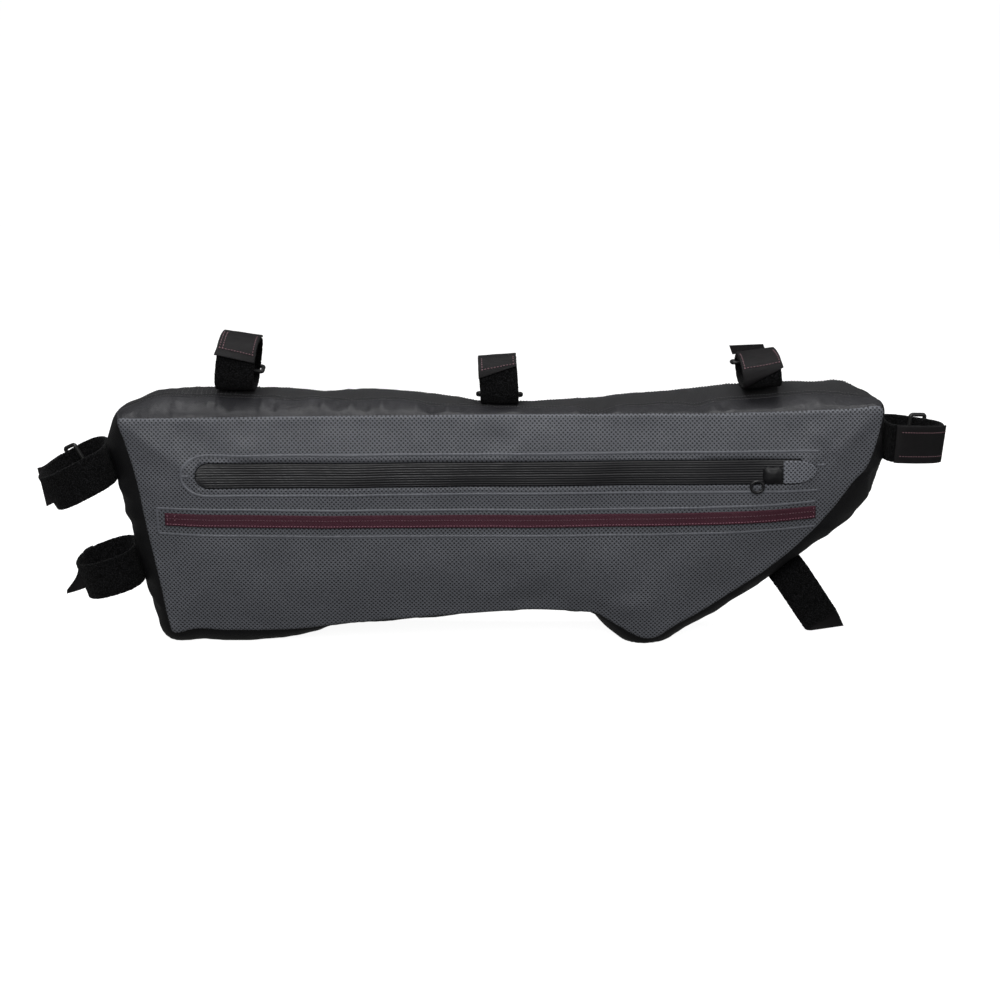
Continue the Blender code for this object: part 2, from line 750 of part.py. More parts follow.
class Strap:
    """Frame of one closed strap: out from the gusset, across its width, and round its loop."""

    def __init__(self, seam, row):
        self.name, along, up, self.length, self.depth, turn, roll, self.taper, self.square = row
        edge = seam.nearest(across_bag(along), up * BAG_HEIGHT)
        foot, normal = seam.crest(edge, STRAP_WIDTH / 2.0, self.loop_rise)
        start = math.atan2(normal[1], normal[0])
        self.roll = math.tan(math.radians(roll))
        self.foot = foot + normal * (GAP * 1.2 + STRAP_THICK / 2.0)
        self.angles = []
        self.places = []
        place = self.foot.copy()
        steps = 40
        for i in range(steps + 1):
            share = i / steps
            bend = min(share / 0.4, 1.0)
            angle = start + math.radians(turn) * bend * bend * (3.0 - 2.0 * bend)
            self.angles.append(angle)
            self.places.append(place.copy())
            place = place + np.array([math.cos(angle), math.sin(angle)]) * self.length / steps

    def loop_rise(self, depth):
        """Rise of the loop's lower side at a depth."""
        wide = min(abs(depth) / (self.depth / 2.0), 1.0)
        return (1.0 - (1.0 - wide ** self.square) ** (1.0 / self.square)) / 2.0 * self.length

    def frame(self, rise):
        share = np.clip(rise, 0.0, 1.0) * (len(self.places) - 1)
        low = int(min(share, len(self.places) - 2))
        mix = share - low
        place = self.places[low] * (1.0 - mix) + self.places[low + 1] * mix
        angle = self.angles[low] * (1.0 - mix) + self.angles[low + 1] * mix
        out = np.array([math.cos(angle), math.sin(angle)])
        return place + out * (rise - np.clip(rise, 0.0, 1.0)) * self.length, out

    def loop_point(self, angle, lift=0.0):
        """Rise and depth of the loop at an angle round it, lifted off it."""
        turn = math.radians(angle)
        power = 2.0 / self.square
        wide = math.copysign(abs(math.cos(turn)) ** power, math.cos(turn))
        tall = math.copysign(abs(math.sin(turn)) ** power, math.sin(turn))
        rise = (1.0 + tall) / 2.0
        depth = self.depth / 2.0 * wide * (1.0 + (self.taper - 1.0) * rise)
        return rise * self.length, depth

    def lifted(self, angle, lift):
        """Loop point moved out of the loop by lift."""
        rise, depth = self.loop_point(angle)
        rise_b, depth_b = self.loop_point(angle + 3.0)
        rise_a, depth_a = self.loop_point(angle - 3.0)
        run = np.array([rise_b - rise_a, depth_b - depth_a])
        run /= np.linalg.norm(run)
        return rise - run[1] * lift, depth + run[0] * lift

    def place(self, rise, depth, across):
        spot, out = self.frame(rise / self.length)
        side = np.array([out[1], -out[0]])
        spot = spot + side * (across + depth * self.roll)
        return np.array([spot[0], depth, spot[1]])


def even_angles(strap, count):
    """Angles that space the loop's stations evenly along it."""
    fine = np.linspace(0.0, 360.0, 721)
    run = np.array([strap.loop_point(a) for a in fine])
    steps = np.concatenate([[0.0], np.cumsum(np.linalg.norm(np.diff(run, axis=0), axis=1))])
    return np.interp(np.arange(count) / count * steps[-1], steps, fine)


def build_strap(strap, materials):
    half = STRAP_WIDTH / 2.0
    rail_a = []
    rail_b = []
    for angle in even_angles(strap, LOOP_STATIONS):
        rise, depth = strap.loop_point(angle)
        rail_a.append(strap.place(rise, depth, -half))
        rail_b.append(strap.place(rise, depth, half))
    points, faces = strip_solid(rail_a, rail_b, STRAP_THICK, True)
    points, faces = outward(points, faces)
    add_body("strap_" + strap.name, points, faces, materials["strap"])


def build_end_tab(strap, rows, name, materials):
    base = STRAP_THICK / 2.0 + GAP + END_TAB_THICK / 2.0
    rail_a = []
    rail_b = []
    for angle_a, across_a, lift_a, angle_b, across_b, lift_b in smooth_rows(rows, 4, False):
        rise, depth = strap.lifted(angle_a, base + lift_a)
        rail_a.append(strap.place(rise, depth, across_a * STRAP_WIDTH / 2.0))
        rise, depth = strap.lifted(angle_b, base + lift_b)
        rail_b.append(strap.place(rise, depth, across_b * STRAP_WIDTH / 2.0))
    points, faces = strip_solid(rail_a, rail_b, END_TAB_THICK, False)
    points, faces = outward(points, faces)
    add_body(name, points, faces, materials["tab"])


def build_ring(strap, angle, tilt, materials):
    """Slotted ring that the strap runs through, tilted on it."""
    rise, depth = strap.loop_point(angle)
    rise_b, depth_b = strap.loop_point(angle + 3.0)
    tilt = math.radians(tilt)
    along = strap.place(rise_b, depth_b, 0.0) - strap.place(rise, depth, 0.0)
    along /= np.linalg.norm(along)
    wide = strap.place(rise, depth, 1.0) - strap.place(rise, depth, 0.0)
    wide /= np.linalg.norm(wide)
    out = np.cross(along, wide)
    up = out * math.cos(tilt) + along * math.sin(tilt)
    slot = STRAP_THICK / math.cos(tilt) + RING_BAR * abs(math.tan(tilt)) + 3.4 * GAP
    half_wide = STRAP_WIDTH / 2.0 + 1.4 * GAP + RING_BAR / 2.0
    half_tall = slot / 2.0 + RING_BAR / 2.0
    corner = 0.0016
    path = []
    for cx, cz, start in ((1, 1, 0), (-1, 1, 90), (-1, -1, 180), (1, -1, 270)):
        for step in range(3):
            turn = math.radians(start + 45 * step)
            x = cx * (half_wide - corner) + corner * math.cos(turn)
            z = cz * (half_tall - corner) + corner * math.sin(turn)
            path.append(strap.place(rise, depth, 0.0) + wide * x + up * z)
    points, faces = wire_ring(path, RING_BAR / 2.0, 6)
    add_body("ring_" + strap.name, points, faces, materials["plastic"])


def build_materials():
    return {
        "panel": cloth("grey_laminate", (0.095, 0.099, 0.112), 0.55),
        "gusset": cloth("black_nylon", (0.012, 0.012, 0.014), 0.55),
        "strip": cloth("coated_nylon", (0.028, 0.028, 0.031), 0.42),
        "band": cloth("black_band", (0.018, 0.018, 0.020), 0.60),
        "zip": cloth("zip_strip", (0.010, 0.010, 0.012), 0.40),
        "accent": cloth("maroon_ribbon", (0.075, 0.012, 0.028), 0.60),
        "strap": cloth("loop_pile", (0.006, 0.006, 0.006), 0.95),
        "tab": cloth("smooth_tab", (0.016, 0.014, 0.016), 0.50),
        "plastic": cloth("black_plastic", (0.012, 0.012, 0.013), 0.35),
    }


def centre_on_base():
    """Moves every piece so that the origin is under the middle of the bag, on the surface it stands on."""
    bodies = list(bpy.context.scene.collection.objects)
    spots = np.array([vertex.co for body in bodies for vertex in body.data.vertices])
    low = spots.min(axis=0)
    high = spots.max(axis=0)
    for body in bodies:
        body.location = (-(low[0] + high[0]) / 2.0, -(low[1] + high[1]) / 2.0, -low[2])


def main():
    clear_scene()
    materials = build_materials()
    seam = Seam()
    height = build_panels(seam, materials)
    build_gussets(seam, materials)
    build_zip(height, materials)
    build_accent(height, materials)
    build_garage(height, materials)
    build_slider(height, materials)
    straps = {row[0]: Strap(seam, row) for row in STRAPS}
    for strap in straps.values():
        build_strap(strap, materials)
        build_end_tab(strap, END_TABS[strap.name], "tab_" + strap.name, materials)
    build_end_tab(straps["top_right"], REAR_FLAP, "flap_top_right", materials)
    for name, angle, tilt in RINGS:
        build_ring(straps[name], angle, tilt, materials)
    centre_on_base()


main()
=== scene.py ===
"""Looks of a bicycle frame bag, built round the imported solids.

Metres, +Z up, +X along the bag, the zipped side faces -Y.
"""

import math

import bpy
import numpy as np
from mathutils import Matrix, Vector, geometry, noise


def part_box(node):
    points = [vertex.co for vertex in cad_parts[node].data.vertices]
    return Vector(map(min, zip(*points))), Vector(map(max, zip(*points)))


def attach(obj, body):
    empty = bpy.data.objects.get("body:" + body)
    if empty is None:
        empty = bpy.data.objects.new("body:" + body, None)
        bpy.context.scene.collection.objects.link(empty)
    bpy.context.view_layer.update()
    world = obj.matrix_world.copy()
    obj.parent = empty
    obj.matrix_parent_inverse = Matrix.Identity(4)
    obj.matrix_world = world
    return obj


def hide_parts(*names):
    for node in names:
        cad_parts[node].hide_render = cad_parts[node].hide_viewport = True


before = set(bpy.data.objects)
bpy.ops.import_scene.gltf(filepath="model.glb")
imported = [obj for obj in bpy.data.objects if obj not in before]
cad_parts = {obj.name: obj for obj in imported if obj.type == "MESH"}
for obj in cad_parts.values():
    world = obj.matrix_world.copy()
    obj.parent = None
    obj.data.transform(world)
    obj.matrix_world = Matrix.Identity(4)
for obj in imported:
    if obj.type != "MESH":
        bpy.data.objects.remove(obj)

bl_info = {
    "name": "Bicycle Frame Bag",
    "version": (1, 0, 0),
    "blender": (4, 5, 0),
    "location": "3D View > Sidebar > Frame Bag",
    "description": "Builds the cloth, zip, straps and stage of a bicycle frame bag",
    "category": "Object",
}

# Sizes shared with the solids
BAG_LENGTH = 0.472
BAG_HEIGHT = 0.156
BAG_DEPTH = 0.056
WALL = 0.002
GAP = 0.0003
GUSSET_BULGE = 0.012
PANEL_CROWN = 0.007
CROWN_REACH = 0.042
BACK_SAG = 0.0045
FRONT_STRIP_SHARE = 0.32
REAR_STRIP_SHARE = 0.70

ZIP_WIDTH = 0.0159
ZIP_STRIP_LENGTH = 0.3755
SLOT_START = 0.022
SLIDER_LENGTH = 0.0125
SLIDER_WIDTH = 0.011
SLIDER_HEIGHT = 0.0042
PULL_WIDTH = 0.0095
PULL_WIRE = 0.0018
PULL_REACH = 0.0097
PULL_DROP = 0.0072
GARAGE_START = 0.9705
GARAGE_LENGTH = 0.0205
GARAGE_WIDTH = 0.0142
TAB_SHEET = 0.0012

ACCENT_WIDTH = 0.0082

STRAP_WIDTH = 0.024
STRAP_THICK = 0.0024
END_TAB_THICK = 0.0011
RING_BAR = 0.0026

# Fine sizes of the looks
HEM_RADIUS = 0.0018
FRONT_SEED = 12.0
ZIP_WELD_REACH = 0.0125
ACCENT_WELD_ABOVE = 0.0069
ACCENT_WELD_BELOW = 0.0098

# Fine folds of the front side, in the same columns as its broad ones.
FINE_FOLDS = (
    # along_a, up_a, along_b, up_b, depth, width
    (0.085, 0.84, 0.115, 0.74, 0.0006, 0.0040),
    (0.140, 0.80, 0.190, 0.86, -0.0005, 0.0045),
    (0.560, 0.13, 0.580, 0.24, 0.0006, 0.0060),
    (0.645, 0.935, 0.665, 0.900, 0.0006, 0.0040),
    (0.905, 0.93, 0.925, 0.885, -0.0008, 0.0050),
    (0.880, 0.94, 0.900, 0.800, 0.0009, 0.0055),
    (0.945, 0.90, 0.925, 0.780, 0.0008, 0.0045),
    (0.505, 0.80, 0.530, 0.86, -0.0009, 0.0060),
    (0.075, 0.900, 0.060, 0.700, 0.0008, 0.0050),
)

# Short ridges across the front strip of the top.
TOP_PUCKERS = (
    # along, rise, width
    (0.118, 0.0010, 0.0025),
    (0.132, 0.0014, 0.0022),
    (0.145, -0.0010, 0.0022),
    (0.188, 0.0014, 0.0025),
    (0.203, -0.0012, 0.0025),
    (0.268, 0.0016, 0.0029),
    (0.285, -0.0014, 0.0025),
    (0.305, 0.0018, 0.0025),
    (0.325, -0.0014, 0.0025),
    (0.345, 0.0016, 0.0025),
    (0.362, -0.0010, 0.0025),
    (0.392, 0.0016, 0.0029),
    (0.412, -0.0018, 0.0025),
    (0.432, 0.0018, 0.0025),
    (0.455, -0.0012, 0.0025),
    (0.520, 0.0009, 0.0032),
    (0.600, 0.0014, 0.0032),
    (0.655, 0.0014, 0.0032),
    (0.780, 0.0014, 0.0025),
    (0.795, -0.0012, 0.0022),
)

# Slanted creases of the gusset. slope is the rise from its front to its back as a share of the height.
SIDE_CREASES = (
    # left, level, slope, rise, width
    (True, 0.80, -0.10, 0.0007, 0.0040),
    (True, 0.70, 0.16, 0.0010, 0.0035),
    (True, 0.53, -0.14, 0.0010, 0.0032),
    (True, 0.49, -0.10, -0.0007, 0.0028),
    (True, 0.27, 0.20, 0.0010, 0.0035),
    (True, 0.20, 0.10, -0.0006, 0.0040),
    (False, 0.86, 0.24, 0.0011, 0.0030),
    (False, 0.73, -0.30, 0.0016, 0.0030),
    (False, 0.66, -0.24, -0.0012, 0.0026),
    (False, 0.60, 0.16, 0.0013, 0.0032),
    (False, 0.47, -0.16, 0.0010, 0.0035),
    (False, 0.30, 0.14, 0.0009, 0.0035),
)

# Rows of stitches on the strap ends: angle round the loop, share across, extra lift.
TAB_STITCHES = (
    ("top_left", ((95, -0.86, 0.0), (115, -0.86, 0.0), (135, -0.86, 0.0), (150, -0.88, 0.0008))),
    ("top_left", ((95, -0.70, 0.0), (115, -0.70, 0.0), (135, -0.70, 0.0), (150, -0.72, 0.0006))),
    ("top_left", ((151, -0.86, 0.0009), (153, 0.0, 0.0004), (156, 0.84, 0.0002))),
    ("top_left", ((95, 0.84, 0.0), (115, 0.84, 0.0), (138, 0.84, 0.0), (156, 0.84, 0.0002))),
    ("top_middle", ((110, -0.80, 0.0), (130, -0.80, 0.0), (150, -0.80, 0.0))),
    ("top_middle", ((150, -0.80, 0.0), (145, 0.0, 0.0), (139, 0.84, 0.0))),
    ("top_middle", ((110, 0.84, 0.0), (125, 0.84, 0.0), (139, 0.84, 0.0))),
    ("top_right", ((95, -0.88, 0.0), (115, -0.88, 0.0), (135, -0.88, 0.0), (158, -0.86, 0.0))),
    ("top_right", ((158, -0.86, 0.0), (157, 0.0, 0.0), (153, 0.92, 0.0))),
    ("top_right", ((95, 0.84, 0.0), (115, 0.88, 0.0), (135, 0.92, 0.0), (153, 0.94, 0.0))),
    ("right", ((114, -0.66, 0.0), (135, -0.66, 0.0), (160, -0.66, 0.0), (180, -0.66, 0.0), (203, -0.66, 0.0))),
    ("right", ((114, 0.62, 0.0), (135, 0.62, 0.0), (160, 0.62, 0.0), (180, 0.62, 0.0), (203, 0.62, 0.0))),
)

# Seam outline of the side, clockwise from the top left corner.
# along and up are shares of the bag's length and height. front and back say how far the gusset stands
# out in its front and its back half, as shares of its bulge, and sag how low the back seam hangs.
TOP_EDGE = (
    # along, up, front, back, sag
    (0.001, 0.951, 0.34, 0.30, 0.20),
    (0.020, 0.953, 0.66, 0.62, 0.20),
    (0.045, 0.954, 0.98, 1.00, 0.20),
    (0.110, 0.957, 0.96, 1.10, 0.00),
    (0.180, 0.960, 0.82, 1.06, 0.00),
    (0.250, 0.963, 0.74, 0.99, 0.10),
    (0.333, 0.966, 0.64, 0.93, 0.30),
    (0.390, 0.967, 0.54, 0.80, 0.50),
    (0.439, 0.969, 0.36, 0.52, 0.70),
    (0.480, 0.970, 0.20, 0.26, 1.00),
    (0.529, 0.971, 0.14, 0.22, 1.00),
    (0.577, 0.972, 0.12, 0.32, 0.90),
    (0.630, 0.973, 0.10, 0.42, 0.70),
    (0.688, 0.974, 0.14, 0.60, 0.40),
    (0.730, 0.974, 0.20, 0.68, 0.20),
    (0.787, 0.975, 0.36, 0.90, 0.00),
    (0.867, 0.982, 0.54, 1.09, 0.00),
    (0.920, 0.988, 0.66, 0.98, 0.00),
    (0.962, 0.994, 0.40, 0.98, 0.00),
    (1.000, 0.999, 0.20, 0.10, 0.60),
)
DIAGONAL_EDGE = (
    (1.000, 0.930, 0.45, 0.45, 0.00),
    (0.991, 0.812, 0.85, 0.85, 0.00),
    (0.983, 0.751, 1.10, 1.10, 0.00),
    (0.969, 0.702, 1.70, 1.62, 0.00),
    (0.939, 0.574, 1.56, 1.48, 0.00),
    (0.901, 0.446, 1.10, 1.10, 0.00),
    (0.864, 0.346, 1.00, 1.00, 0.00),
    (0.811, 0.233, 1.00, 1.00, 0.00),
    (0.770, 0.150, 1.00, 1.00, 0.00),
    (0.736, 0.088, 1.00, 1.00, 0.00),
    (0.710, 0.038, 1.00, 1.00, 0.00),
)
BOTTOM_EDGE = (
    (0.692, 0.038, 1.10, 1.10, 0.00),
    (0.660, 0.090, 0.85, 0.85, 0.00),
    (0.630, 0.144, 0.48, 0.48, 0.00),
    (0.613, 0.150, 0.30, 0.30, 0.00),
    (0.543, 0.160, 0.36, 0.36, 0.00),
    (0.500, 0.152, 0.36, 0.36, 0.00),
    (0.365, 0.120, 0.46, 0.46, 0.00),
    (0.275, 0.094, 0.48, 0.48, 0.00),
    (0.232, 0.077, 0.90, 0.90, 0.00),
    (0.136, 0.071, 1.28, 1.28, 0.00),
    (0.090, 0.077, 1.28, 1.28, 0.00),
    (0.061, 0.060, 1.00, 1.00, 0.00),
)
LEFT_EDGE = (
    (0.055, 0.113, 1.05, 1.00, 0.00),
    (0.045, 0.288, 1.22, 1.15, 0.00),
    (0.033, 0.486, 1.32, 1.25, 0.00),
    (0.019, 0.735, 1.45, 1.35, 0.00),
    (0.0072, 0.869, 1.40, 1.26, 0.10),
)

# Folds across the top, as how far they sink its front and back half, in metres.
TOP_FOLDS = (
    # along, front, back, width
    (0.223, 0.0016, 0.0000, 0.008),
    (0.265, 0.0000, 0.0026, 0.012),
    (0.304, 0.0022, 0.0000, 0.008),
    (0.420, 0.0022, 0.0000, 0.012),
    (0.630, 0.0045, 0.0000, 0.010),
    (0.763, 0.0026, 0.0000, 0.008),
)

# Soft folds of the front panel, each a line between two points; a negative depth is a ridge.
# All ends are shares of length and height, depth and width are in metres.
PANEL_FOLDS = (
    # along_a, up_a, along_b, up_b, depth, width
    (0.080, 0.93, 0.130, 0.76, 0.0014, 0.0090),
    (0.130, 0.94, 0.175, 0.80, -0.0010, 0.0080),
    (0.480, 0.93, 0.520, 0.83, 0.0014, 0.0090),
    (0.680, 0.95, 0.735, 0.93, 0.0012, 0.0080),
    (0.470, 0.18, 0.545, 0.30, -0.0012, 0.0110),
    (0.640, 0.16, 0.700, 0.19, -0.0012, 0.0080),
    (0.930, 0.86, 0.910, 0.72, 0.0012, 0.0090),
)

# Centre lines of the zip and of the accent strip, as shares of length and height.
ZIP_LINE = ((0.100, 0.730), (0.500, 0.739), (0.895, 0.750))
ACCENT_LINE = ((0.059, 0.551), (0.276, 0.547), (0.685, 0.553), (0.842, 0.568), (0.917, 0.580))

# Closed straps. along and up give the spot of the seam where each one is sewn on beside it,
# turn is the angle in degrees between its run and the gusset's normal, roll the twist of its walls.
STRAPS = (
    # name, along, up, length, depth, turn, roll, taper, square
    ("top_left", 0.152, 0.96, 0.0315, 0.037, -7.0, 0.0, 0.95, 2.9),
    ("top_middle", 0.502, 0.97, 0.0268, 0.026, 6.0, 0.0, 0.90, 3.2),
    ("top_right", 0.850, 0.98, 0.0182, 0.040, 3.0, 0.0, 0.95, 2.8),
    ("left_upper", 0.018, 0.775, 0.0450, 0.041, 13.0, 8.0, 0.85, 2.5),
    ("left_lower", 0.040, 0.337, 0.0385, 0.037, 5.0, 8.0, 0.85, 2.5),
    ("right", 0.995, 0.850, 0.0362, 0.040, -3.0, 0.0, 0.42, 3.2),
    ("under", 0.873, 0.363, 0.0451, 0.011, -4.0, 0.0, 0.50, 2.4),
)

# Smooth end tabs. Angles run round the loop: 90 is its outer end, 180 the front wall, 0 the back wall.
# across is a share of half the strap's width on either side, lift the height off the loop in metres.
END_TABS = {
    "top_left": (
        # angle_a, across_a, lift_a, angle_b, across_b, lift_b
        (60, -1.00, 0.0000, 60, 1.00, 0.0000),
        (90, -1.00, 0.0000, 90, 1.00, 0.0000),
        (115, -1.00, 0.0000, 115, 1.00, 0.0000),
        (135, -1.02, 0.0000, 138, 1.00, 0.0000),
        (152, -1.04, 0.0006, 157, 1.00, 0.0000),
        (166, -1.10, 0.0026, 171, 1.00, 0.0006),
    ),
    "top_middle": (
        (60, -1.00, 0.0000, 60, 1.00, 0.0000),
        (90, -1.00, 0.0000, 90, 1.00, 0.0000),
        (115, -1.00, 0.0000, 115, 1.00, 0.0000),
        (140, -1.00, 0.0000, 128, 1.00, 0.0000),
        (171, -1.02, 0.0006, 145, 1.00, 0.0000),
    ),
    "top_right": (
        (72, -0.98, 0.0000, 72, 1.00, 0.0000),
        (90, -1.00, 0.0000, 90, 1.02, 0.0000),
        (110, -1.02, 0.0000, 110, 1.02, 0.0000),
        (130, -1.02, 0.0000, 130, 1.04, 0.0000),
        (160, -1.02, 0.0000, 150, 1.06, 0.0000),
        (205, -1.00, 0.0008, 168, 1.10, 0.0008),
    ),
    "left_upper": (
        (20, -1.00, 0.0000, 20, 1.00, 0.0000),
        (40, -1.00, 0.0000, 40, 1.00, 0.0000),
        (55, -1.00, 0.0006, 52, 1.00, 0.0004),
        (66, -0.98, 0.0040, 60, 1.02, 0.0016),
        (74, -0.93, 0.0105, 66, 1.10, 0.0036),
    ),
    "left_lower": (
        (30, -1.00, 0.0000, 30, 1.00, 0.0000),
        (55, -1.00, 0.0005, 52, 0.95, 0.0004),
        (70, -0.92, 0.0040, 66, 0.50, 0.0030),
        (78, -0.88, 0.0100, 76, -0.20, 0.0075),
        (80, -0.86, 0.0160, 80, -0.66, 0.0150),
    ),
    "right": (
        (110, -1.00, 0.0000, 110, 1.00, 0.0000),
        (126, -1.00, 0.0000, 126, 1.00, 0.0000),
        (150, -1.00, 0.0000, 150, 1.00, 0.0000),
        (180, -1.00, 0.0000, 180, 1.00, 0.0000),
        (216, -1.00, 0.0000, 216, 1.00, 0.0000),
    ),
    "under": (
        (40, -0.98, 0.0004, 40, 0.98, 0.0004),
        (62, -0.98, 0.0004, 62, 0.98, 0.0004),
        (78, -0.98, 0.0008, 78, 0.98, 0.0006),
        (84, -0.94, 0.0060, 84, 0.94, 0.0010),
        (86, -0.84, 0.0138, 86, 0.80, 0.0022),
    ),
}

# Loose end that stands up behind the top right loop, in the same columns as the end tabs.
REAR_FLAP = (
    (38, -1.10, 0.0000, 38, 0.66, 0.0000),
    (43, -1.16, 0.0026, 42, 0.62, 0.0018),
    (47, -1.22, 0.0054, 45, 0.58, 0.0036),
)

# Plastic rings: strap, angle round its loop, tilt in degrees.
RINGS = (
    ("top_left", 345, 25),
    ("top_middle", 312, 25),
    ("top_right", 12, -25),
    ("left_upper", 4, 50),
    ("right", 8, 50),
)


# Curves

def smooth_rows(rows, steps, closed):
    """Catmull-Rom through rows of numbers, chord-length spaced so that close rows stay tight."""
    rows = np.array(rows, float)
    count = len(rows)
    spans = count if closed else count - 1
    out = []
    for i in range(spans):
        a = rows[(i - 1) % count] if closed or i > 0 else 2 * rows[0] - rows[1]
        b = rows[i]
        c = rows[(i + 1) % count]
        d = rows[(i + 2) % count] if closed or i + 2 < count else 2 * rows[-1] - rows[-2]
        knots = [0.0]
        for p, q in ((a, b), (b, c), (c, d)):
            knots.append(knots[-1] + max(np.linalg.norm((q - p)[:2]), 1e-6) ** 0.5)
        for k in range(steps):
            t = knots[1] + (knots[2] - knots[1]) * k / steps
            p1 = (a * (knots[1] - t) + b * (t - knots[0])) / (knots[1] - knots[0])
            p2 = (b * (knots[2] - t) + c * (t - knots[1])) / (knots[2] - knots[1])
            p3 = (c * (knots[3] - t) + d * (t - knots[2])) / (knots[3] - knots[2])
            q1 = (p1 * (knots[2] - t) + p2 * (t - knots[0])) / (knots[2] - knots[0])
            q2 = (p2 * (knots[3] - t) + p3 * (t - knots[1])) / (knots[3] - knots[1])
            out.append((q1 * (knots[2] - t) + q2 * (t - knots[1])) / (knots[2] - knots[1]))
    if not closed:
        out.append(rows[-1])
    return np.array(out)


def across_bag(along):
    return (along - 0.5) * BAG_LENGTH


def seam_rows():
    """Fine closed run of the seam: x, z, front and back push, sag in metres."""
    rows = []
    for along, up, front, back, sag in TOP_EDGE + DIAGONAL_EDGE + BOTTOM_EDGE + LEFT_EDGE:
        push = (front * GUSSET_BULGE, back * GUSSET_BULGE)
        rows.append((across_bag(along), up * BAG_HEIGHT, *push, sag * BACK_SAG))
    return smooth_rows(rows, 12, True)


def top_folds(x):
    """How far the folds sink the front and the back half of the top at x."""
    front = 0.0
    back = 0.0
    for along, front_depth, back_depth, width in TOP_FOLDS:
        near_fold = math.exp(-(((x - across_bag(along)) / width) ** 2))
        front += front_depth * near_fold
        back += back_depth * near_fold
    return front, back


def arc_shares(rows):
    steps = np.linalg.norm(np.roll(rows[:, :2], -1, axis=0) - rows[:, :2], axis=1)
    return np.concatenate([[0.0], np.cumsum(steps)]) / steps.sum()


class Seam:
    """The seam outline as a function of the share of its run."""

    def __init__(self):
        self.rows = seam_rows()
        self.shares = arc_shares(self.rows)
        self.loop = np.vstack([self.rows, self.rows[:1]])
        self.run = np.sum(np.linalg.norm(np.diff(self.loop[:, :2], axis=0), axis=1))
        corner = np.array([across_bag(1.0), BAG_HEIGHT])
        self.top_end = self.shares[np.argmin(np.linalg.norm(self.rows[:, :2] - corner, axis=1))]

    def at(self, share):
        share = share % 1.0
        return np.array([np.interp(share, self.shares, self.loop[:, k]) for k in range(5)])

    def nearest(self, x, z):
        return self.shares[np.argmin(np.linalg.norm(self.rows[:, :2] - np.array([x, z]), axis=1))]

    def normal(self, share, reach=0.004):
        run = self.at(share + reach)[:2] - self.at(share - reach)[:2]
        run /= np.linalg.norm(run)
        return np.array([-run[1], run[0]])

    def crest(self, share, reach, loop_rise):
        """Foot of a strap on the gusset beside a spot of the seam, and the normal there.

        reach is half the strap's width, and loop_rise gives how far its loop has lifted at a depth.
        """
        step = reach / self.run
        ends = [self.surface(share + k * step, 0.5)[[0, 2]] for k in (-1.0, 1.0)]
        run = (ends[1] - ends[0]) / np.linalg.norm(ends[1] - ends[0])
        normal = np.array([-run[1], run[0]])
        foot = self.surface(share, 0.5)[[0, 2]]
        rises = []
        for k in np.linspace(-1.0, 1.0, 9):
            for across in np.linspace(0.26, 0.74, 9):
                spot = self.surface(share + k * step, across)
                lifted = loop_rise(spot[1])
                rises.append(np.dot(spot[[0, 2]] - foot, normal) - lifted)
        return foot + normal * max(rises), normal

    def surface(self, share, across, inset=0.0):
        """Point of the gusset: across runs from the front seam (0) to the back seam (1)."""
        x, z, front, back, sag = self.at(share)
        nx, nz = self.normal(share)
        if share % 1.0 < self.top_end:
            front_sink, back_sink = top_folds(x)
            front -= front_sink
            back -= back_sink
        mix = min(max((across - 0.2) / 0.6, 0.0), 1.0)
        mix = mix * mix * (3.0 - 2.0 * mix)
        round_up = max(4.0 * across * (1.0 - across), 0.0) ** 0.72
        push = (front + (back - front) * mix) * round_up - inset
        y = (across - 0.5) * (BAG_DEPTH - 2.0 * GAP)
        z_here = z - sag * across ** 1.5 + nz * push
        return np.array([x + nx * push, y, max(z_here, inset)])


def line_point(line, share):
    rows = [(across_bag(a), up * BAG_HEIGHT) for a, up in line]
    run = smooth_rows(rows, 8, False)
    steps = np.concatenate([[0.0], np.cumsum(np.linalg.norm(np.diff(run, axis=0), axis=1))])
    steps /= steps[-1]
    return np.array([np.interp(share, steps, run[:, k]) for k in range(2)])


def line_side(line, share):
    run = line_point(line, min(share + 0.01, 1.0)) - line_point(line, max(share - 0.01, 0.0))
    run /= np.linalg.norm(run)
    return run, np.array([-run[1], run[0]])


def slot_outline(width, trim):
    """Long slot with a rounded left end, trimmed by a clearance all round."""
    half = width / 2.0 - trim
    points = []
    for k in range(15):
        share = SLOT_START + (1.0 - SLOT_START) * k / 14.0
        run, side = line_side(ZIP_LINE, share)
        shift = trim * run if k == 14 else 0.0
        points.append(line_point(ZIP_LINE, share) - half * side - shift)
    upper = []
    for k in range(15):
        share = SLOT_START + (1.0 - SLOT_START) * k / 14.0
        run, side = line_side(ZIP_LINE, share)
        shift = trim * run if k == 14 else 0.0
        upper.append(line_point(ZIP_LINE, share) + half * side - shift)
    points += reversed(upper)
    run, side = line_side(ZIP_LINE, 0.0)
    centre = line_point(ZIP_LINE, SLOT_START)
    for k in range(1, 7):
        turn = math.pi * k / 7.0
        points.append(centre + half * (math.cos(turn) * side - math.sin(turn) * run))
    return points


def zip_spot(share, across):
    """Spot on the zip's centre line, also past its end."""
    run, side = line_side(ZIP_LINE, min(share, 1.0))
    over = max(share - 1.0, 0.0) * ZIP_STRIP_LENGTH
    return line_point(ZIP_LINE, min(share, 1.0)) + run * over + side * across


# Straps

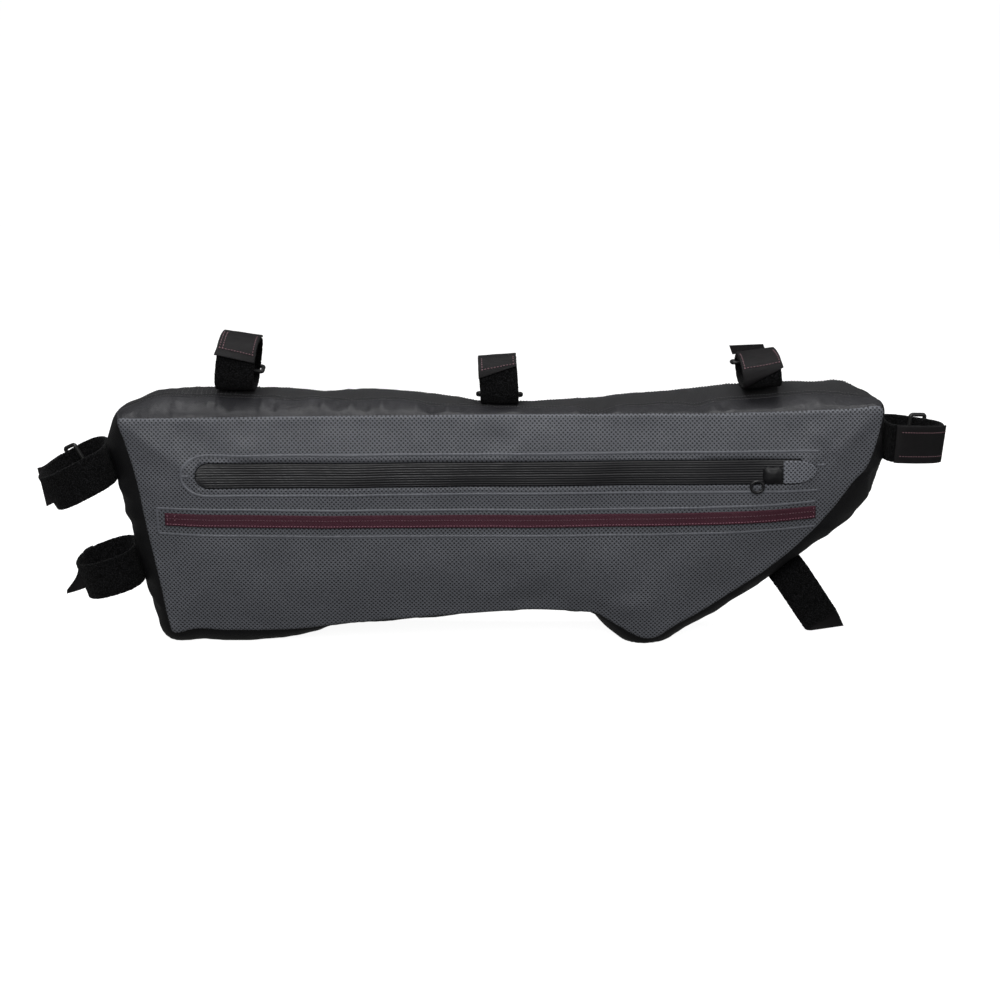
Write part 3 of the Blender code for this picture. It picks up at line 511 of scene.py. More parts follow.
class Strap:
    """Frame of one closed strap: out from the gusset, across its width, and round its loop."""

    def __init__(self, seam, row):
        self.name, along, up, self.length, self.depth, turn, roll, self.taper, self.square = row
        edge = seam.nearest(across_bag(along), up * BAG_HEIGHT)
        foot, normal = seam.crest(edge, STRAP_WIDTH / 2.0, self.loop_rise)
        start = math.atan2(normal[1], normal[0])
        self.roll = math.tan(math.radians(roll))
        self.foot = foot + normal * (GAP * 1.2 + STRAP_THICK / 2.0)
        self.angles = []
        self.places = []
        place = self.foot.copy()
        steps = 40
        for i in range(steps + 1):
            share = i / steps
            bend = min(share / 0.4, 1.0)
            angle = start + math.radians(turn) * bend * bend * (3.0 - 2.0 * bend)
            self.angles.append(angle)
            self.places.append(place.copy())
            place = place + np.array([math.cos(angle), math.sin(angle)]) * self.length / steps

    def loop_rise(self, depth):
        """Rise of the loop's lower side at a depth."""
        wide = min(abs(depth) / (self.depth / 2.0), 1.0)
        return (1.0 - (1.0 - wide ** self.square) ** (1.0 / self.square)) / 2.0 * self.length

    def frame(self, rise):
        share = np.clip(rise, 0.0, 1.0) * (len(self.places) - 1)
        low = int(min(share, len(self.places) - 2))
        mix = share - low
        place = self.places[low] * (1.0 - mix) + self.places[low + 1] * mix
        angle = self.angles[low] * (1.0 - mix) + self.angles[low + 1] * mix
        out = np.array([math.cos(angle), math.sin(angle)])
        return place + out * (rise - np.clip(rise, 0.0, 1.0)) * self.length, out

    def loop_point(self, angle, lift=0.0):
        """Rise and depth of the loop at an angle round it, lifted off it."""
        turn = math.radians(angle)
        power = 2.0 / self.square
        wide = math.copysign(abs(math.cos(turn)) ** power, math.cos(turn))
        tall = math.copysign(abs(math.sin(turn)) ** power, math.sin(turn))
        rise = (1.0 + tall) / 2.0
        depth = self.depth / 2.0 * wide * (1.0 + (self.taper - 1.0) * rise)
        return rise * self.length, depth

    def lifted(self, angle, lift):
        """Loop point moved out of the loop by lift."""
        rise, depth = self.loop_point(angle)
        rise_b, depth_b = self.loop_point(angle + 3.0)
        rise_a, depth_a = self.loop_point(angle - 3.0)
        run = np.array([rise_b - rise_a, depth_b - depth_a])
        run /= np.linalg.norm(run)
        return rise - run[1] * lift, depth + run[0] * lift

    def place(self, rise, depth, across):
        spot, out = self.frame(rise / self.length)
        side = np.array([out[1], -out[0]])
        spot = spot + side * (across + depth * self.roll)
        return np.array([spot[0], depth, spot[1]])


def even_angles(strap, count):
    """Angles that space the loop's stations evenly along it."""
    fine = np.linspace(0.0, 360.0, 721)
    run = np.array([strap.loop_point(a) for a in fine])
    steps = np.concatenate([[0.0], np.cumsum(np.linalg.norm(np.diff(run, axis=0), axis=1))])
    return np.interp(np.arange(count) / count * steps[-1], steps, fine)


# Meshes

def frame_shift(seam):
    """How far the solids were moved to stand on the middle of their box."""
    low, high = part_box("front_panel")
    first = min(seam.at(k / 112.0)[0] for k in range(112))
    return np.array([low.x - first, high.y + BAG_DEPTH / 2.0, 0.0])


SEAM = Seam()
SHIFT = frame_shift(SEAM)


def add_piece(name, points, faces, material, corner_uvs=None, nodes=()):
    mesh = bpy.data.meshes.new(name)
    mesh.from_pydata([tuple(np.asarray(p) + SHIFT) for p in points], [], [tuple(f) for f in faces])
    mesh.update()
    mesh.materials.append(material)
    mesh.shade_smooth()
    if corner_uvs is not None:
        layer = mesh.uv_layers.new(name="Run")
        layer.data.foreach_set("uv", np.array(corner_uvs, np.float32).ravel())
    piece = bpy.data.objects.new(name, mesh)
    bpy.context.scene.collection.objects.link(piece)
    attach(piece, "root")
    if nodes:
        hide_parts(*nodes)
    return piece


def sweep(sections, closed=False):
    """Closed skin through equal rings of points: points, faces and a UV for each face corner."""
    rings = np.array(sections, float)
    count, around = rings.shape[:2]
    runs = np.linalg.norm(rings - np.roll(rings, 1, axis=0), axis=2).mean(axis=1)
    run = np.concatenate([[0.0], np.cumsum(runs[1:]), [np.sum(runs[1:]) + runs[0]]])
    steps = np.linalg.norm(np.roll(rings, -1, axis=1) - rings, axis=2).mean(axis=0)
    girth = np.concatenate([[0.0], np.cumsum(steps)])
    spans = count if closed else count - 1
    i = np.repeat(np.arange(spans), around)
    k = np.tile(np.arange(around), spans)
    j = (i + 1) % count
    m = (k + 1) % around
    quads = np.stack([i * around + k, i * around + m, j * around + m, j * around + k], axis=1)
    uvs = np.stack([run[i], girth[k], run[i], girth[k + 1], run[i + 1], girth[k + 1], run[i + 1], girth[k]], axis=1)
    points = rings.reshape(-1, 3)
    if signed_volume(points, quads) < 0:
        quads = quads[:, ::-1]
        uvs = uvs.reshape(-1, 4, 2)[:, ::-1]
    faces = [tuple(quad) for quad in quads.tolist()]
    uvs = uvs.reshape(-1, 2)
    if not closed:
        first = list(range(around))
        last = [(count - 1) * around + k for k in range(around)]
        forward = (0, 1) if (quads[0, 1] - quads[0, 0]) in (1, 1 - around) else (1, 0)
        faces.append(tuple(reversed(first)) if forward == (0, 1) else tuple(first))
        faces.append(tuple(last) if forward == (0, 1) else tuple(reversed(last)))
        uvs = np.vstack([uvs, np.zeros((2 * around, 2))])
    return points, faces, uvs


def signed_volume(points, faces):
    """Volume that faces of equal size close, up to their open ends; positive where they look outwards."""
    corners = np.asarray(points)[np.asarray(faces)]
    corners = corners - corners.mean(axis=(0, 1))
    total = 0.0
    for k in range(1, corners.shape[1] - 1):
        total += np.einsum("ij,ij->i", corners[:, 0], np.cross(corners[:, k], corners[:, k + 1])).sum()
    return total


def rounded_section(half_wide, half_thick, corner, flat_steps, corner_steps=4):
    """Ring of a flat strip with rounded edges, as across, up and their outward directions."""
    corner = min(corner, half_thick)
    ring = []
    for cx, cz, start in ((1, 1, 0), (-1, 1, 90), (-1, -1, 180), (1, -1, 270)):
        for k in range(corner_steps + 1):
            turn = math.radians(start + 90.0 * k / corner_steps)
            x = cx * (half_wide - corner) + corner * math.cos(turn)
            z = cz * (half_thick - corner) + corner * math.sin(turn)
            ring.append((x, z, math.cos(turn), math.sin(turn)))
        if cz * cx > 0:
            for k in range(1, flat_steps):
                x = cx * (half_wide - corner) * (1.0 - 2.0 * k / flat_steps)
                ring.append((x, cz * half_thick, 0.0, float(cz)))
    return ring


def ribbon(rail_a, rail_b, thick, corner, flat_steps, closed=False, bend=None):
    """Strip between two rails with rounded edges; bend may move a ring point: (run, across, up) to lift."""
    rail_a = np.array(rail_a, float)
    rail_b = np.array(rail_b, float)
    count = len(rail_a)
    middle = (rail_a + rail_b) / 2.0
    run = np.concatenate([[0.0], np.cumsum(np.linalg.norm(np.diff(middle, axis=0), axis=1))])
    sections = []
    for i in range(count):
        if closed:
            way = middle[(i + 1) % count] - middle[i - 1]
        else:
            way = middle[min(i + 1, count - 1)] - middle[max(i - 1, 0)]
        wide = rail_b[i] - rail_a[i]
        half = np.linalg.norm(wide) / 2.0
        wide = wide / (2.0 * half)
        up = np.cross(way, wide)
        up /= np.linalg.norm(up)
        ring = []
        for x, z, out_x, out_z in rounded_section(half, thick / 2.0, corner, flat_steps):
            lift = bend(run[i], x, z) if bend else 0.0
            ring.append(middle[i] + wide * (x + out_x * lift) + up * (z + out_z * lift))
        sections.append(ring)
    return sections


def wire_ring(path, radius, sides, flatten=1.0):
    """Round wire along a closed flat path."""
    path = np.array(path, float)
    count = len(path)
    flat = np.cross(path[count // 4] - path[0], path[count // 2] - path[0])
    flat /= np.linalg.norm(flat)
    sections = []
    for i in range(count):
        run = path[(i + 1) % count] - path[i - 1]
        run /= np.linalg.norm(run)
        side = np.cross(run, flat)
        ring = []
        for k in range(sides):
            turn = 2.0 * math.pi * k / sides
            ring.append(path[i] + radius * (math.cos(turn) * side + flatten * math.sin(turn) * flat))
        sections.append(ring)
    return sections


def ripple(x, y, z, scale, seed=0.0):
    """Smooth noise between -1 and 1 at a point, with a wave about 1 / scale long."""
    return noise.noise(Vector((x * scale + seed, y * scale - seed, z * scale + 2.0 * seed)))


# Panels

def distances(spots, loop):
    """Distance from each spot to a closed outline."""
    loop = np.array(loop, float)
    run = np.roll(loop, -1, axis=0) - loop
    size = (run ** 2).sum(1)
    best = np.full(len(spots), 1e9)
    for a, way, length in zip(loop, run, size):
        t = np.clip(((spots - a) @ way) / length, 0.0, 1.0)
        best = np.minimum(best, np.linalg.norm(spots - a - t[:, None] * way, axis=1))
    return best


def within(spots, loop):
    """Which spots lie inside a closed outline."""
    loop = np.array(loop, float)
    odd = np.zeros(len(spots), bool)
    x, z = spots[:, 0], spots[:, 1]
    for (xa, za), (xb, zb) in zip(np.roll(loop, 1, axis=0), loop):
        if abs(zb - za) > 1e-12:
            odd ^= ((za > z) != (zb > z)) & (x < (xb - xa) * (z - za) / (zb - za) + xa)
    return odd


def inset_ring(loop, reach, every=1):
    """Outline moved inwards."""
    loop = np.array(loop, float)
    run = np.roll(loop, -1, axis=0) - np.roll(loop, 1, axis=0)
    run /= np.linalg.norm(run, axis=1)[:, None]
    return (loop + reach * np.stack([run[:, 1], -run[:, 0]], axis=1))[::every]


def fold_heights(spots):
    total = np.zeros(len(spots))
    for along_a, up_a, along_b, up_b, depth, width in PANEL_FOLDS + FINE_FOLDS:
        a = np.array([across_bag(along_a), up_a * BAG_HEIGHT])
        b = np.array([across_bag(along_b), up_b * BAG_HEIGHT])
        run = b - a
        t = np.clip((spots - a) @ run / (run @ run), 0.0, 1.0)
        off = np.linalg.norm(spots - a - t[:, None] * run, axis=1)
        total -= depth * np.exp(-((off / width) ** 2)) * (0.4 + 0.6 * np.sin(math.pi * t) ** 0.5)
    return total


def soft_waves(spots, far, seed):
    waves = []
    for (x, z), reach in zip(spots, far):
        broad = ripple(x, z, 0.0, 16.0, seed) * 0.0018 + ripple(x, z, 0.0, 38.0, seed + 7.0) * 0.0008
        edge = ripple(x, z, 0.0, 95.0, seed + 3.0) * 0.0005 * math.exp(-reach / 0.007)
        waves.append(broad * min(reach / 0.01, 1.0) + edge)
    return np.array(waves)


def face_heights(spots, outline, folds, seed):
    """How far a panel's outer face stands off the middle plane at each spot."""
    edge = distances(spots, outline)
    far = np.minimum(edge / CROWN_REACH, 1.0)
    rise = np.sin(far * math.pi / 2.0) ** 1.15
    shape = PANEL_CROWN * rise + soft_waves(spots, edge, seed)
    if folds:
        shape += fold_heights(spots) * np.minimum(far * 3.0, 1.0)
    turn = np.clip(1.0 - edge / HEM_RADIUS, 0.0, 1.0)
    return BAG_DEPTH / 2.0 + WALL + shape - HEM_RADIUS * (1.0 - np.sqrt(1.0 - turn ** 2))


def panel_skin(outline, hole, step):
    """Fine triangles that fill an outline, less a hole, with close rows along its edges."""
    spots = [tuple(p) for p in outline]
    edges = [(k - 1 if k else len(outline) - 1, k) for k in range(len(outline))]
    if hole is not None:
        first = len(spots)
        spots += [tuple(p) for p in hole]
        edges += [(first + (k - 1 if k else len(hole) - 1), first + k) for k in range(len(hole))]
    for reach in (0.12, 0.35, 0.7, 1.1):
        spots += [tuple(p) for p in inset_ring(outline, HEM_RADIUS * reach)]
    low, high = np.min(outline, axis=0), np.max(outline, axis=0)
    grid = []
    for row in range(int((high[1] - low[1]) / (step * 0.87)) + 1):
        xs = np.arange(low[0] + (0.5 * step if row % 2 else 0.0), high[0], step)
        grid += [(x, low[1] + row * step * 0.87) for x in xs]
    grid = np.array(grid)
    keep = within(grid, outline) & (distances(grid, outline) > HEM_RADIUS * 1.1 + step * 0.4)
    if hole is not None:
        keep &= ~within(grid, hole) & (distances(grid, hole) > step * 0.35)
    spots += [tuple(p) for p in grid[keep]]
    made = geometry.delaunay_2d_cdt([Vector(p) for p in spots], edges, [], 0, 1e-7)
    spots = np.array([tuple(p) for p in made[0]])
    triangles = np.array([tuple(t) for t in made[2]])
    middles = spots[triangles].mean(axis=1)
    keep = within(middles, outline)
    if hole is not None:
        keep &= ~within(middles, hole)
    return spots, [tuple(int(k) for k in t) for t in triangles[keep]]


def panel_piece(name, outline, hole, step, side, folds, seed, material, node):
    spots, triangles = panel_skin(outline, hole, step)
    heights = face_heights(spots, outline, folds, seed)
    count = len(spots)
    inner = np.minimum(heights - WALL * 0.8, BAG_DEPTH / 2.0 + 0.006)
    inner = np.where(heights < BAG_DEPTH / 2.0 + WALL, BAG_DEPTH / 2.0, inner)
    points = [(x, side * h, z) for (x, z), h in zip(spots, heights)]
    points += [(x, side * h, z) for (x, z), h in zip(spots, inner)]
    faces = []
    seen = set()
    for a, b, c in triangles:
        faces += [(a, b, c), (count + a, count + c, count + b)]
        seen |= {(a, b), (b, c), (c, a)}
    faces += [(b, a, count + a, count + b) for a, b in seen if (b, a) not in seen]
    if signed_volume(points, [f for f in faces if len(f) == 3]) < 0:
        faces = [tuple(reversed(face)) for face in faces]
    return add_piece(name, points, faces, material, None, (node,))


def outline_points(count, back=False):
    rows = [SEAM.at(k / count) for k in range(count)]
    return np.array([(row[0], row[1] - (row[4] if back else 0.0)) for row in rows])


OUTLINE = outline_points(460)


def on_face(spots, lift):
    """Points on the front panel's face at flat spots, lifted off it."""
    spots = np.array(spots, float)
    heights = face_heights(spots, OUTLINE, True, FRONT_SEED)
    return np.stack([spots[:, 0], -(heights + lift), spots[:, 1]], axis=1)


def along_line(line, first, last, across, step=0.002):
    """Flat spots beside one of the panel's lines, from one share of its run to another."""
    length = np.linalg.norm(line_point(line, 1.0) - line_point(line, 0.0))
    count = max(int((last - first) * length / step), 2)
    spots = []
    for k in range(count + 1):
        share = first + (last - first) * k / count
        inner = min(max(share, 0.0), 1.0)
        run, side = line_side(line, inner)
        spots.append(line_point(line, inner) + run * (share - inner) * length + side * across)
    return spots


# Gussets

def side_creases(share, across):
    """Slanted creases across the left end and the right end of the gusset."""
    x, z = SEAM.at(share)[:2]
    push = 0.0
    for left, level, slope, rise, width in SIDE_CREASES:
        if left != (x < 0.0):
            continue
        off = (z / BAG_HEIGHT - level - slope * (across - 0.5)) * BAG_HEIGHT / width
        push += rise * math.exp(-off * off)
    return push


def strip_relief(share, across, low, high):
    """Small waves, seam puckers and folds of the gusset, as a push outwards."""
    run = share * SEAM.run
    depth = across * BAG_DEPTH
    top = share < SEAM.top_end
    push = ripple(run, depth, 0.0, 55.0, 4.0) * (0.0006 if top else 0.0010)
    push += ripple(run, depth * 0.4, 0.0, 130.0, 9.0) * (0.0003 if top else 0.0004)
    for seam_at in (low, high):
        off = abs(across - seam_at) * BAG_DEPTH
        push += ripple(run, 0.3 * off, 0.0, 240.0, 2.0) * 0.00055 * math.exp(-off / 0.006)
        push -= 0.0008 * math.exp(-((off / 0.0011) ** 2))
    fade = min(across, 1.0 - across) * BAG_DEPTH
    if not top:
        push += side_creases(share, across)
    push *= min(fade / 0.0015 + 0.35, 1.0)
    if top and across < 0.5:
        x = SEAM.at(share)[0]
        for along, rise, width in TOP_PUCKERS:
            off = (x - across_bag(along)) / width
            push += rise * math.exp(-off * off) * math.sin(math.pi * min(across / FRONT_STRIP_SHARE, 1.0))
    return push


def top_spot(share, across):
    """Place of a stitch on the top, just above its cloth."""
    low, high = 0.0, FRONT_STRIP_SHARE
    if across > REAR_STRIP_SHARE:
        low, high = REAR_STRIP_SHARE, 1.0
    elif across > FRONT_STRIP_SHARE:
        low, high = FRONT_STRIP_SHARE, REAR_STRIP_SHARE
    nx, nz = SEAM.normal(share)
    lift = strip_relief(share, across, low, high) + 0.00015
    return SEAM.surface(share, across) + np.array([nx, 0.0, nz]) * lift


def gusset_skin(name, start, end, low, high, columns, material, node):
    count = int((end - start) * 800)
    span = high - low
    sections = []
    for i in range(count + 1):
        share = start + (end - start) * i / count
        nx, nz = SEAM.normal(share)
        out = np.array([nx, 0.0, nz])
        ring = []
        for k in range(columns + 1):
            across = low + span * (0.5 - 0.5 * math.cos(math.pi * k / columns)) ** 0.9
            spot = SEAM.surface(share, across) + out * strip_relief(share, across, low, high)
            spot[2] = max(spot[2], 0.0002)
            ring.append(spot)
        for k in range(9):
            across = high - span * k / 8.0
            ring.append(SEAM.surface(share, across, WALL))
        sections.append(ring)
    points, faces, uvs = sweep(sections)
    return add_piece(name, points, faces, material, uvs, (node,))


# Node helpers

def put(tree, kind, settings=None, **values):
    """New node: settings are its own properties, values fill or link its inputs by name or number."""
    made = tree.nodes.new(kind)
    for key, value in (settings or {}).items():
        setattr(made, key, value)
    for key, value in values.items():
        socket = made.inputs[int(key[1:])] if key[1:].isdigit() else made.inputs[key.replace("_", " ")]
        if isinstance(value, bpy.types.NodeSocket):
            tree.links.new(value, socket)
        else:
            socket.default_value = value
    return made


def maths(tree, operation, a, b=0.0):
    return put(tree, "ShaderNodeMath", {"operation": operation}, i0=a, i1=b).outputs[0]


def fade(tree, value, first, last, to_first=0.0, to_last=1.0):
    made = put(tree, "ShaderNodeMapRange", {"interpolation_type": "SMOOTHSTEP"})
    for name, number in (("From Min", first), ("From Max", last), ("To Min", to_first), ("To Max", to_last)):
        made.inputs[name].default_value = number
    tree.links.new(value, made.inputs["Value"])
    return made.outputs["Result"]


def blend_colour(tree, share, first, second):
    made = put(tree, "ShaderNodeMix", {"data_type": "RGBA"})
    for socket, value in ((made.inputs[0], share), (made.inputs[6], first), (made.inputs[7], second)):
        if isinstance(value, bpy.types.NodeSocket):
            tree.links.new(value, socket)
        else:
            socket.default_value = value
    return made.outputs[2]


def shade(colour, times):
    return (*(min(c * times, 1.0) for c in colour[:3]), 1.0)


def new_look(name, roughness, sheen=0.0, coat=0.0, specular=0.4):
    material = bpy.data.materials.new(name)
    material.use_nodes = True
    tree = material.node_tree
    shader = tree.nodes["Principled BSDF"]
    shader.inputs["Roughness"].default_value = roughness
    shader.inputs["Sheen Weight"].default_value = sheen
    shader.inputs["Sheen Roughness"].default_value = 0.4
    shader.inputs["Coat Weight"].default_value = coat
    shader.inputs["Specular IOR Level"].default_value = specular
    return material, tree, shader


def bump(tree, shader, height, reach, strength=1.0):
    made = put(tree, "ShaderNodeBump", None, Strength=strength, Distance=reach, Height=height)
    tree.links.new(made.outputs["Normal"], shader.inputs["Normal"])


def cloud(tree, scale, detail=3.0, vector=None):
    place = vector or put(tree, "ShaderNodeTexCoord").outputs["Object"]
    return put(tree, "ShaderNodeTexNoise", None, Vector=place, Scale=scale, Detail=detail).outputs[0]


# Materials

def laminate(looks, name, colour):
    """Laminated cloth with staggered rows of small sunk dimples, whose colour is darkened with painted shade."""
    material, tree, shader = new_look(name, 0.5, 0.05)
    place = put(tree, "ShaderNodeTexCoord").outputs["Object"]
    split = put(tree, "ShaderNodeSeparateXYZ", None, i0=place)
    u = maths(tree, "DIVIDE", split.outputs[0], looks.dimple_pitch)
    v = maths(tree, "DIVIDE", split.outputs[2], looks.dimple_pitch / 2.0)
    odd = maths(tree, "MULTIPLY", maths(tree, "MODULO", maths(tree, "FLOOR", v), 2.0), 0.5)
    across = maths(tree, "SUBTRACT", maths(tree, "FRACT", maths(tree, "ADD", u, odd)), 0.5)
    up = maths(tree, "MULTIPLY", maths(tree, "SUBTRACT", maths(tree, "FRACT", v), 0.5), 0.5)
    far = maths(tree, "ADD", maths(tree, "MULTIPLY", across, across), maths(tree, "MULTIPLY", up, up))
    dimple = fade(tree, maths(tree, "SQRT", far), looks.dimple_size * 0.45, looks.dimple_size, 1.0, 0.0)
    tint = blend_colour(tree, cloud(tree, 40.0), shade(colour, 0.86), shade(colour, 1.14))
    # Painted shade: inside each sunk dimple the colour is darkened to 0.16 of the cloth's tone.
    mixed = blend_colour(tree, maths(tree, "MULTIPLY", dimple, 0.95), tint, shade(colour, 0.16))
    tree.links.new(mixed, shader.inputs["Base Color"])
    grain = cloud(tree, 2600.0, 2.0)
    height = maths(tree, "SUBTRACT", maths(tree, "MULTIPLY", grain, 0.25), dimple)
    bump(tree, shader, height, 0.0006, 1.0)
    tree.links.new(fade(tree, cloud(tree, 120.0), 0.2, 0.8, 0.42, 0.60), shader.inputs["Roughness"])
    return material


def woven(name, colour, roughness, pitch, depth, sheen=0.03, specular=0.4):
    """Plain weave that follows the piece's own run."""
    material, tree, shader = new_look(name, roughness, sheen, 0.0, specular)
    run = put(tree, "ShaderNodeUVMap", {"uv_map": "Run"}).outputs[0]
    split = put(tree, "ShaderNodeSeparateXYZ", None, i0=run)
    waves = []
    for axis in (0, 1):
        turn = maths(tree, "MULTIPLY", split.outputs[axis], 2.0 * math.pi / pitch)
        waves.append(maths(tree, "SINE", turn))
    weave = maths(tree, "MULTIPLY", waves[0], waves[1])
    soft = cloud(tree, 55.0)
    tint = blend_colour(tree, soft, shade(colour, 0.75), shade(colour, 1.3))
    mixed = blend_colour(tree, fade(tree, weave, -1.0, 1.0), shade(colour, 0.6), tint)
    tree.links.new(mixed, shader.inputs["Base Color"])
    height = maths(tree, "ADD", maths(tree, "MULTIPLY", weave, 0.5), cloud(tree, 900.0, 2.0))
    bump(tree, shader, height, depth, 0.7)
    return material


def coated(name, colour, roughness):
    """Coated cloth: fine crumple under a low shine."""
    material, tree, shader = new_look(name, roughness, 0.0, 0.06, 0.36)
    run = put(tree, "ShaderNodeUVMap", {"uv_map": "Run"}).outputs[0]
    weave = put(tree, "ShaderNodeTexChecker", None, Vector=run, Scale=1400.0).outputs[1]
    tint = blend_colour(tree, cloud(tree, 70.0), shade(colour, 0.7), shade(colour, 1.45))
    tree.links.new(tint, shader.inputs["Base Color"])
    height = maths(tree, "ADD", maths(tree, "MULTIPLY", weave, 0.12), cloud(tree, 420.0, 4.0))
    bump(tree, shader, height, 0.0006, 0.75)
    tree.links.new(fade(tree, cloud(tree, 160.0), 0.25, 0.8, roughness - 0.08, roughness + 0.15),
                   shader.inputs["Roughness"])
    return material


def pile(name, colour):
    """Loop side of a hook-and-loop strap: matt, tangled fibre, with painted highlights on the raised fibre and painted
    shade between.
    """
    material, tree, shader = new_look(name, 1.0, 0.04, 0.0, 0.08)
    tangle_and_highlight = cloud(tree, 1500.0, 5.0)
    # Painted highlight and shade: where the fibre stands high its colour goes up to 4.5 times lighter, in the hollows
    # down to 0.3 times.
    tint = blend_colour(tree, fade(tree, tangle_and_highlight, 0.42, 0.72), shade(colour, 0.3), shade(colour, 4.5))
    tree.links.new(tint, shader.inputs["Base Color"])
    bump(tree, shader, tangle_and_highlight, 0.0009, 1.0)
    return material


def moulded(name, colour, roughness):
    material, tree, shader = new_look(name, roughness)
    tint = blend_colour(tree, cloud(tree, 300.0), shade(colour, 0.8), shade(colour, 1.3))
    tree.links.new(tint, shader.inputs["Base Color"])
    bump(tree, shader, cloud(tree, 1800.0, 3.0), 0.0001, 0.5)
    tree.links.new(fade(tree, cloud(tree, 500.0), 0.3, 0.7, roughness - 0.07, roughness + 0.1),
                   shader.inputs["Roughness"])
    return material


def thread(name, colour):
    material, tree, shader = new_look(name, 0.55, 0.2)
    twist = put(tree, "ShaderNodeTexWave", {"bands_direction": "DIAGONAL"}, Scale=900.0)
    place = put(tree, "ShaderNodeTexCoord").outputs["Object"]
    tree.links.new(place, twist.inputs["Vector"])
    tint = blend_colour(tree, twist.outputs[1], shade(colour, 0.6), shade(colour, 1.2))
    tree.links.new(tint, shader.inputs["Base Color"])
    bump(tree, shader, twist.outputs[1], 0.0001, 0.6)
    return material


# Stitches

def stitch_tree():
    """Geometry nodes that lay a stitch at even steps along curves."""
    tree = bpy.data.node_groups.new("Stitch rows", "GeometryNodeTree")
    tree.interface.new_socket("Geometry", in_out="INPUT", socket_type="NodeSocketGeometry")
    for name in ("Pitch", "Stitch Length", "Stitch Width"):
        tree.interface.new_socket(name, in_out="INPUT", socket_type="NodeSocketFloat")
    tree.interface.new_socket("Thread", in_out="INPUT", socket_type="NodeSocketMaterial")
    tree.interface.new_socket("Geometry", in_out="OUTPUT", socket_type="NodeSocketGeometry")
    start = tree.nodes.new("NodeGroupInput")
    end = tree.nodes.new("NodeGroupOutput")
    resample = put(tree, "GeometryNodeResampleCurve", {"mode": "LENGTH"})
    tree.links.new(start.outputs["Geometry"], resample.inputs["Curve"])
    tree.links.new(start.outputs["Pitch"], resample.inputs["Length"])
    ball = put(tree, "GeometryNodeMeshUVSphere", None, Segments=6, Rings=5, Radius=0.5)
    size = put(tree, "ShaderNodeCombineXYZ")
    tree.links.new(start.outputs["Stitch Width"], size.inputs[0])
    tree.links.new(start.outputs["Stitch Width"], size.inputs[1])
    tree.links.new(start.outputs["Stitch Length"], size.inputs[2])
    way = tree.nodes.new("GeometryNodeInputTangent")
    align = put(tree, "FunctionNodeAlignRotationToVector", {"axis": "Z"})
    tree.links.new(way.outputs[0], align.inputs["Vector"])
    laid = tree.nodes.new("GeometryNodeInstanceOnPoints")
    tree.links.new(resample.outputs["Curve"], laid.inputs["Points"])
    tree.links.new(ball.outputs["Mesh"], laid.inputs["Instance"])
    tree.links.new(align.outputs[0], laid.inputs["Rotation"])
    tree.links.new(size.outputs[0], laid.inputs["Scale"])
    real = tree.nodes.new("GeometryNodeRealizeInstances")
    tree.links.new(laid.outputs[0], real.inputs[0])
    paint = tree.nodes.new("GeometryNodeSetMaterial")
    tree.links.new(real.outputs[0], paint.inputs["Geometry"])
    tree.links.new(start.outputs["Thread"], paint.inputs["Material"])
    tree.links.new(paint.outputs[0], end.inputs[0])
    return tree


def stitch_piece(name, paths, material, pitch, length, width):
    """Rows of stitches along paths of points, as one mesh."""
    curve = bpy.data.curves.new(name + "_path", "CURVE")
    curve.dimensions = "3D"
    for path in paths:
        spline = curve.splines.new("POLY")
        spline.points.add(len(path) - 1)
        for point, spot in zip(spline.points, path):
            point.co = (*(np.asarray(spot) + SHIFT), 1.0)
    holder = bpy.data.objects.new(name + "_path", curve)
    bpy.context.scene.collection.objects.link(holder)
    tree = bpy.data.node_groups.get("Stitch rows") or stitch_tree()
    modifier = holder.modifiers.new("Stitches", "NODES")
    modifier.node_group = tree
    keys = {item.name: item.identifier for item in tree.interface.items_tree if item.in_out == "INPUT"}
    modifier[keys["Pitch"]] = pitch
    modifier[keys["Stitch Length"]] = length
    modifier[keys["Stitch Width"]] = width
    modifier[keys["Thread"]] = material
    bpy.context.view_layer.update()
    ready = holder.evaluated_get(bpy.context.evaluated_depsgraph_get())
    mesh = bpy.data.meshes.new_from_object(ready)
    mesh.name = name
    mesh.shade_smooth()
    bpy.data.objects.remove(holder)
    piece = bpy.data.objects.new(name, mesh)
    bpy.context.scene.collection.objects.link(piece)
    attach(piece, "root")
    return piece


# Looks

